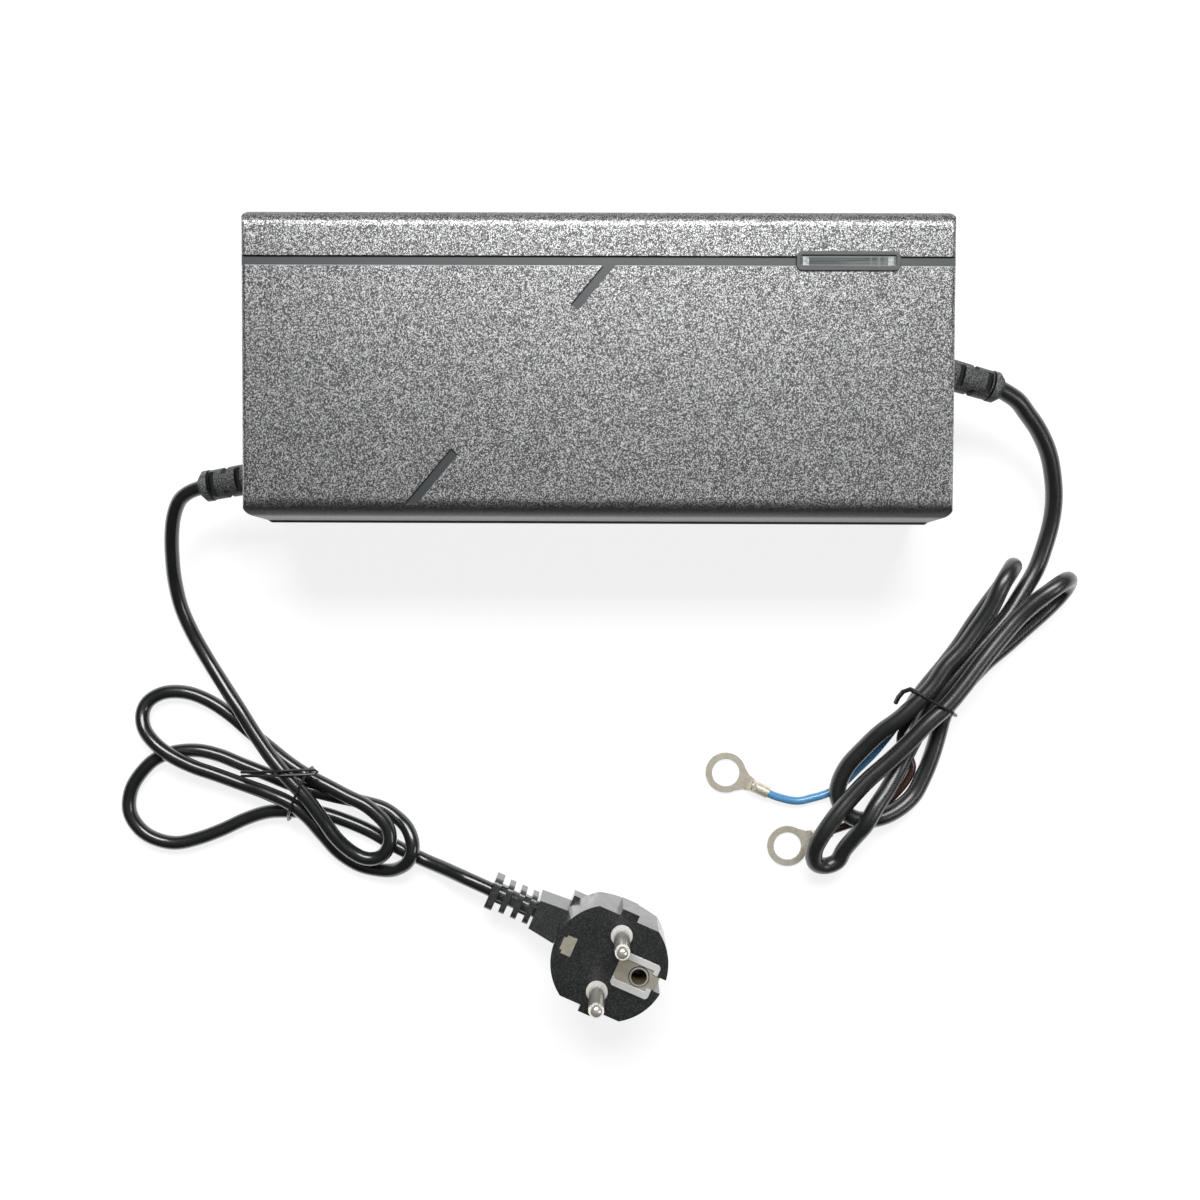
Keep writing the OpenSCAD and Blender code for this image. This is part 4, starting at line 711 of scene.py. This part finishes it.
# %% Inside finishes
# Each row holds two colours, roughness, metallic, and the pieces that wear the finish.
INSIDE = {
    "circuit_board": ((0.012, 0.11, 0.045), (0.02, 0.15, 0.06), 0.3, 0, ["lamp_board", "main_board"]),
    "ribbon_grey": ((0.5, 0.48, 0.44), (0.6, 0.58, 0.52), 0.5, 0, ["lamp_ribbon"]),
    "zinc_steel": ((0.5, 0.5, 0.52), (0.62, 0.62, 0.64), 0.35, 1, ["board_screws", "device_screws"]),
    "fuse_glass": ((0.7, 0.74, 0.74), (0.8, 0.84, 0.84), 0.1, 0, ["line_fuse"]),
    "box_yellow": ((0.7, 0.48, 0.05), (0.8, 0.58, 0.08), 0.4, 0, ["filter_capacitor"]),
    "enamelled_copper": ((0.42, 0.15, 0.05), (0.55, 0.22, 0.07), 0.3, 0, ["line_choke", "output_inductor"]),
    "black_resin": ((0.015, 0.015, 0.016), (0.03, 0.03, 0.03), 0.5, 0,
                    ["bridge_rectifier", "power_transistors", "output_rectifiers", "transformer_base",
                     "control_chips"]),
    "capacitor_sleeve": ((0.012, 0.02, 0.05), (0.02, 0.03, 0.08), 0.3, 0,
                         ["bulk_capacitors", "output_capacitors"]),
    "sink_aluminium": ((0.62, 0.64, 0.66), (0.72, 0.74, 0.76), 0.35, 1, ["primary_sink", "secondary_sink"]),
    "ferrite_grey": ((0.04, 0.04, 0.045), (0.07, 0.07, 0.075), 0.6, 0, ["transformer_core"]),
    "winding_tape": ((0.65, 0.42, 0.03), (0.75, 0.5, 0.05), 0.3, 0, ["transformer_winding"]),
    "capacitor_blue": ((0.03, 0.14, 0.4), (0.05, 0.2, 0.5), 0.3, 0, ["safety_capacitor"]),
    "inner_brown": ((0.05, 0.018, 0.010), (0.075, 0.028, 0.016), 0.4, 0,
                    ["mains_live_inner", "dc_positive_inner"]),
    "inner_blue": ((0.012, 0.10, 0.36), (0.02, 0.14, 0.45), 0.4, 0,
                   ["mains_neutral_inner", "dc_negative_inner"]),
    "inner_green_yellow": ((0.05, 0.3, 0.05), (0.6, 0.55, 0.05), 0.4, 0, ["mains_earth_inner"]),
}
for name, (low, high, rough, metallic, wearers) in INSIDE.items():
    inside = Finish(name, Roughness=rough, Metallic=float(metallic))
    inside.set(Base_Color=inside.blend(inside.noise(1.5, detail=3), low, high))
    inside.on(*[nodes[n] for n in wearers])
print("inside finishes:", len(INSIDE))

# %% [markdown]
# ## Table
# The object lies on a white table. A white floor under real studio light would bounce that light back on
# the object from below, so the table looks different to each kind of ray. The camera sees a plain white
# that still takes the soft shadow, glossy surfaces mirror clean white paper, and other light meets a quiet
# grey.

# %% Table
TABLE_SIZE = 20
bpy.ops.object.select_all(action="DESELECT")
bpy.ops.mesh.primitive_plane_add(size=TABLE_SIZE, location=(0, 0, 0))
floor = bpy.context.object
floor.name = "table"
table = Finish("table_white", Base_Color=(0.30, 0.30, 0.30), Roughness=0.9)
seen = table.node("ShaderNodeLightPath", output="Is Camera Ray")
mirrored = table.node("ShaderNodeLightPath", output="Is Glossy Ray")
glow = table.node("ShaderNodeEmission", inputs={"Color": (1, 1, 1, 1), "Strength": 0.85})
plain_table = Signal(table, table.shader.outputs[0])
to_camera = table.node("ShaderNodeAddShader", inputs={0: plain_table, 1: glow})
grey = table.node("ShaderNodeBsdfDiffuse", inputs={"Color": (0.14, 0.14, 0.14, 1)})
paper = table.node("ShaderNodeEmission", inputs={"Color": (1, 1, 1, 1), "Strength": 1.25})
to_others = table.node("ShaderNodeMixShader", inputs={0: mirrored, 1: grey, 2: paper})
surface = table.node("ShaderNodeMixShader", inputs={0: seen, 1: to_others, 2: to_camera})
table.tree.links.new(surface.socket, table.tree.nodes["Material Output"].inputs["Surface"])
table.on(floor)
print("table:", floor.name)

# %% [markdown]
# ## Background
# The world is white to the camera and almost dark to everything else, so the lamps alone shape the object.

# %% Background
world = bpy.data.worlds.new("studio")
bpy.context.scene.world = world
world.use_nodes = True
sky = world.node_tree.nodes
links = world.node_tree.links
dim = sky["Background"]
dim.inputs["Color"].default_value = (1, 1, 1, 1)
dim.inputs["Strength"].default_value = 0.06
bright = sky.new("ShaderNodeBackground")
bright.inputs["Color"].default_value = (1, 1, 1, 1)
bright.inputs["Strength"].default_value = 1.0
path = sky.new("ShaderNodeLightPath")
mix = sky.new("ShaderNodeMixShader")
links.new(path.outputs["Is Camera Ray"], mix.inputs[0])
links.new(dim.outputs[0], mix.inputs[1])
links.new(bright.outputs[0], mix.inputs[2])
links.new(mix.outputs[0], sky["World Output"].inputs["Surface"])
print("world:", world.name)

# %% [markdown]
# ## Lamps
# One large soft lamp hangs above and behind the object, so its top is brightest near the back edge. Gloss
# needs something to mirror, so two pale cards hang over the table and to its right. Photographers use white
# board for this. Here each card is a lamp that shows only in glossy surfaces and lights nothing else.


# %% Lamps
def softbox(name, place, aim, size, power, only_mirrored=False):
    """A soft lamp, or with only_mirrored a pale card that shows in glossy surfaces and lights nothing."""
    data = bpy.data.lights.new(name, "AREA")
    data.shape = "RECTANGLE"
    data.size, data.size_y = size
    data.energy = power
    lamp = bpy.data.objects.new(name, data)
    bpy.context.collection.objects.link(lamp)
    lamp.location = place
    lamp.rotation_euler = (Vector(aim) - Vector(place)).to_track_quat("-Z", "Y").to_euler()
    lamp.visible_camera = False
    lamp.visible_diffuse = not only_mirrored


softbox("overhead_softbox", place=(0.03, 0.66, 1.0), aim=(0, -0.02, 0), size=(0.85, 0.4), power=15)
softbox("side_card", place=(0.75, -0.25, 0.75), aim=(-0.1, -0.13, 0), size=(0.35, 0.35), power=1.8,
        only_mirrored=True)
softbox("ceiling_card", place=(0, 0.1, 1.7), aim=(0, 0, 0), size=(1.7, 1.5), power=1.0,
        only_mirrored=True)
print("lamps:", len(bpy.data.lights))

# %% [markdown]
# The view layer is brought up to date at the end.

# %% Finish
bpy.context.view_layer.update()
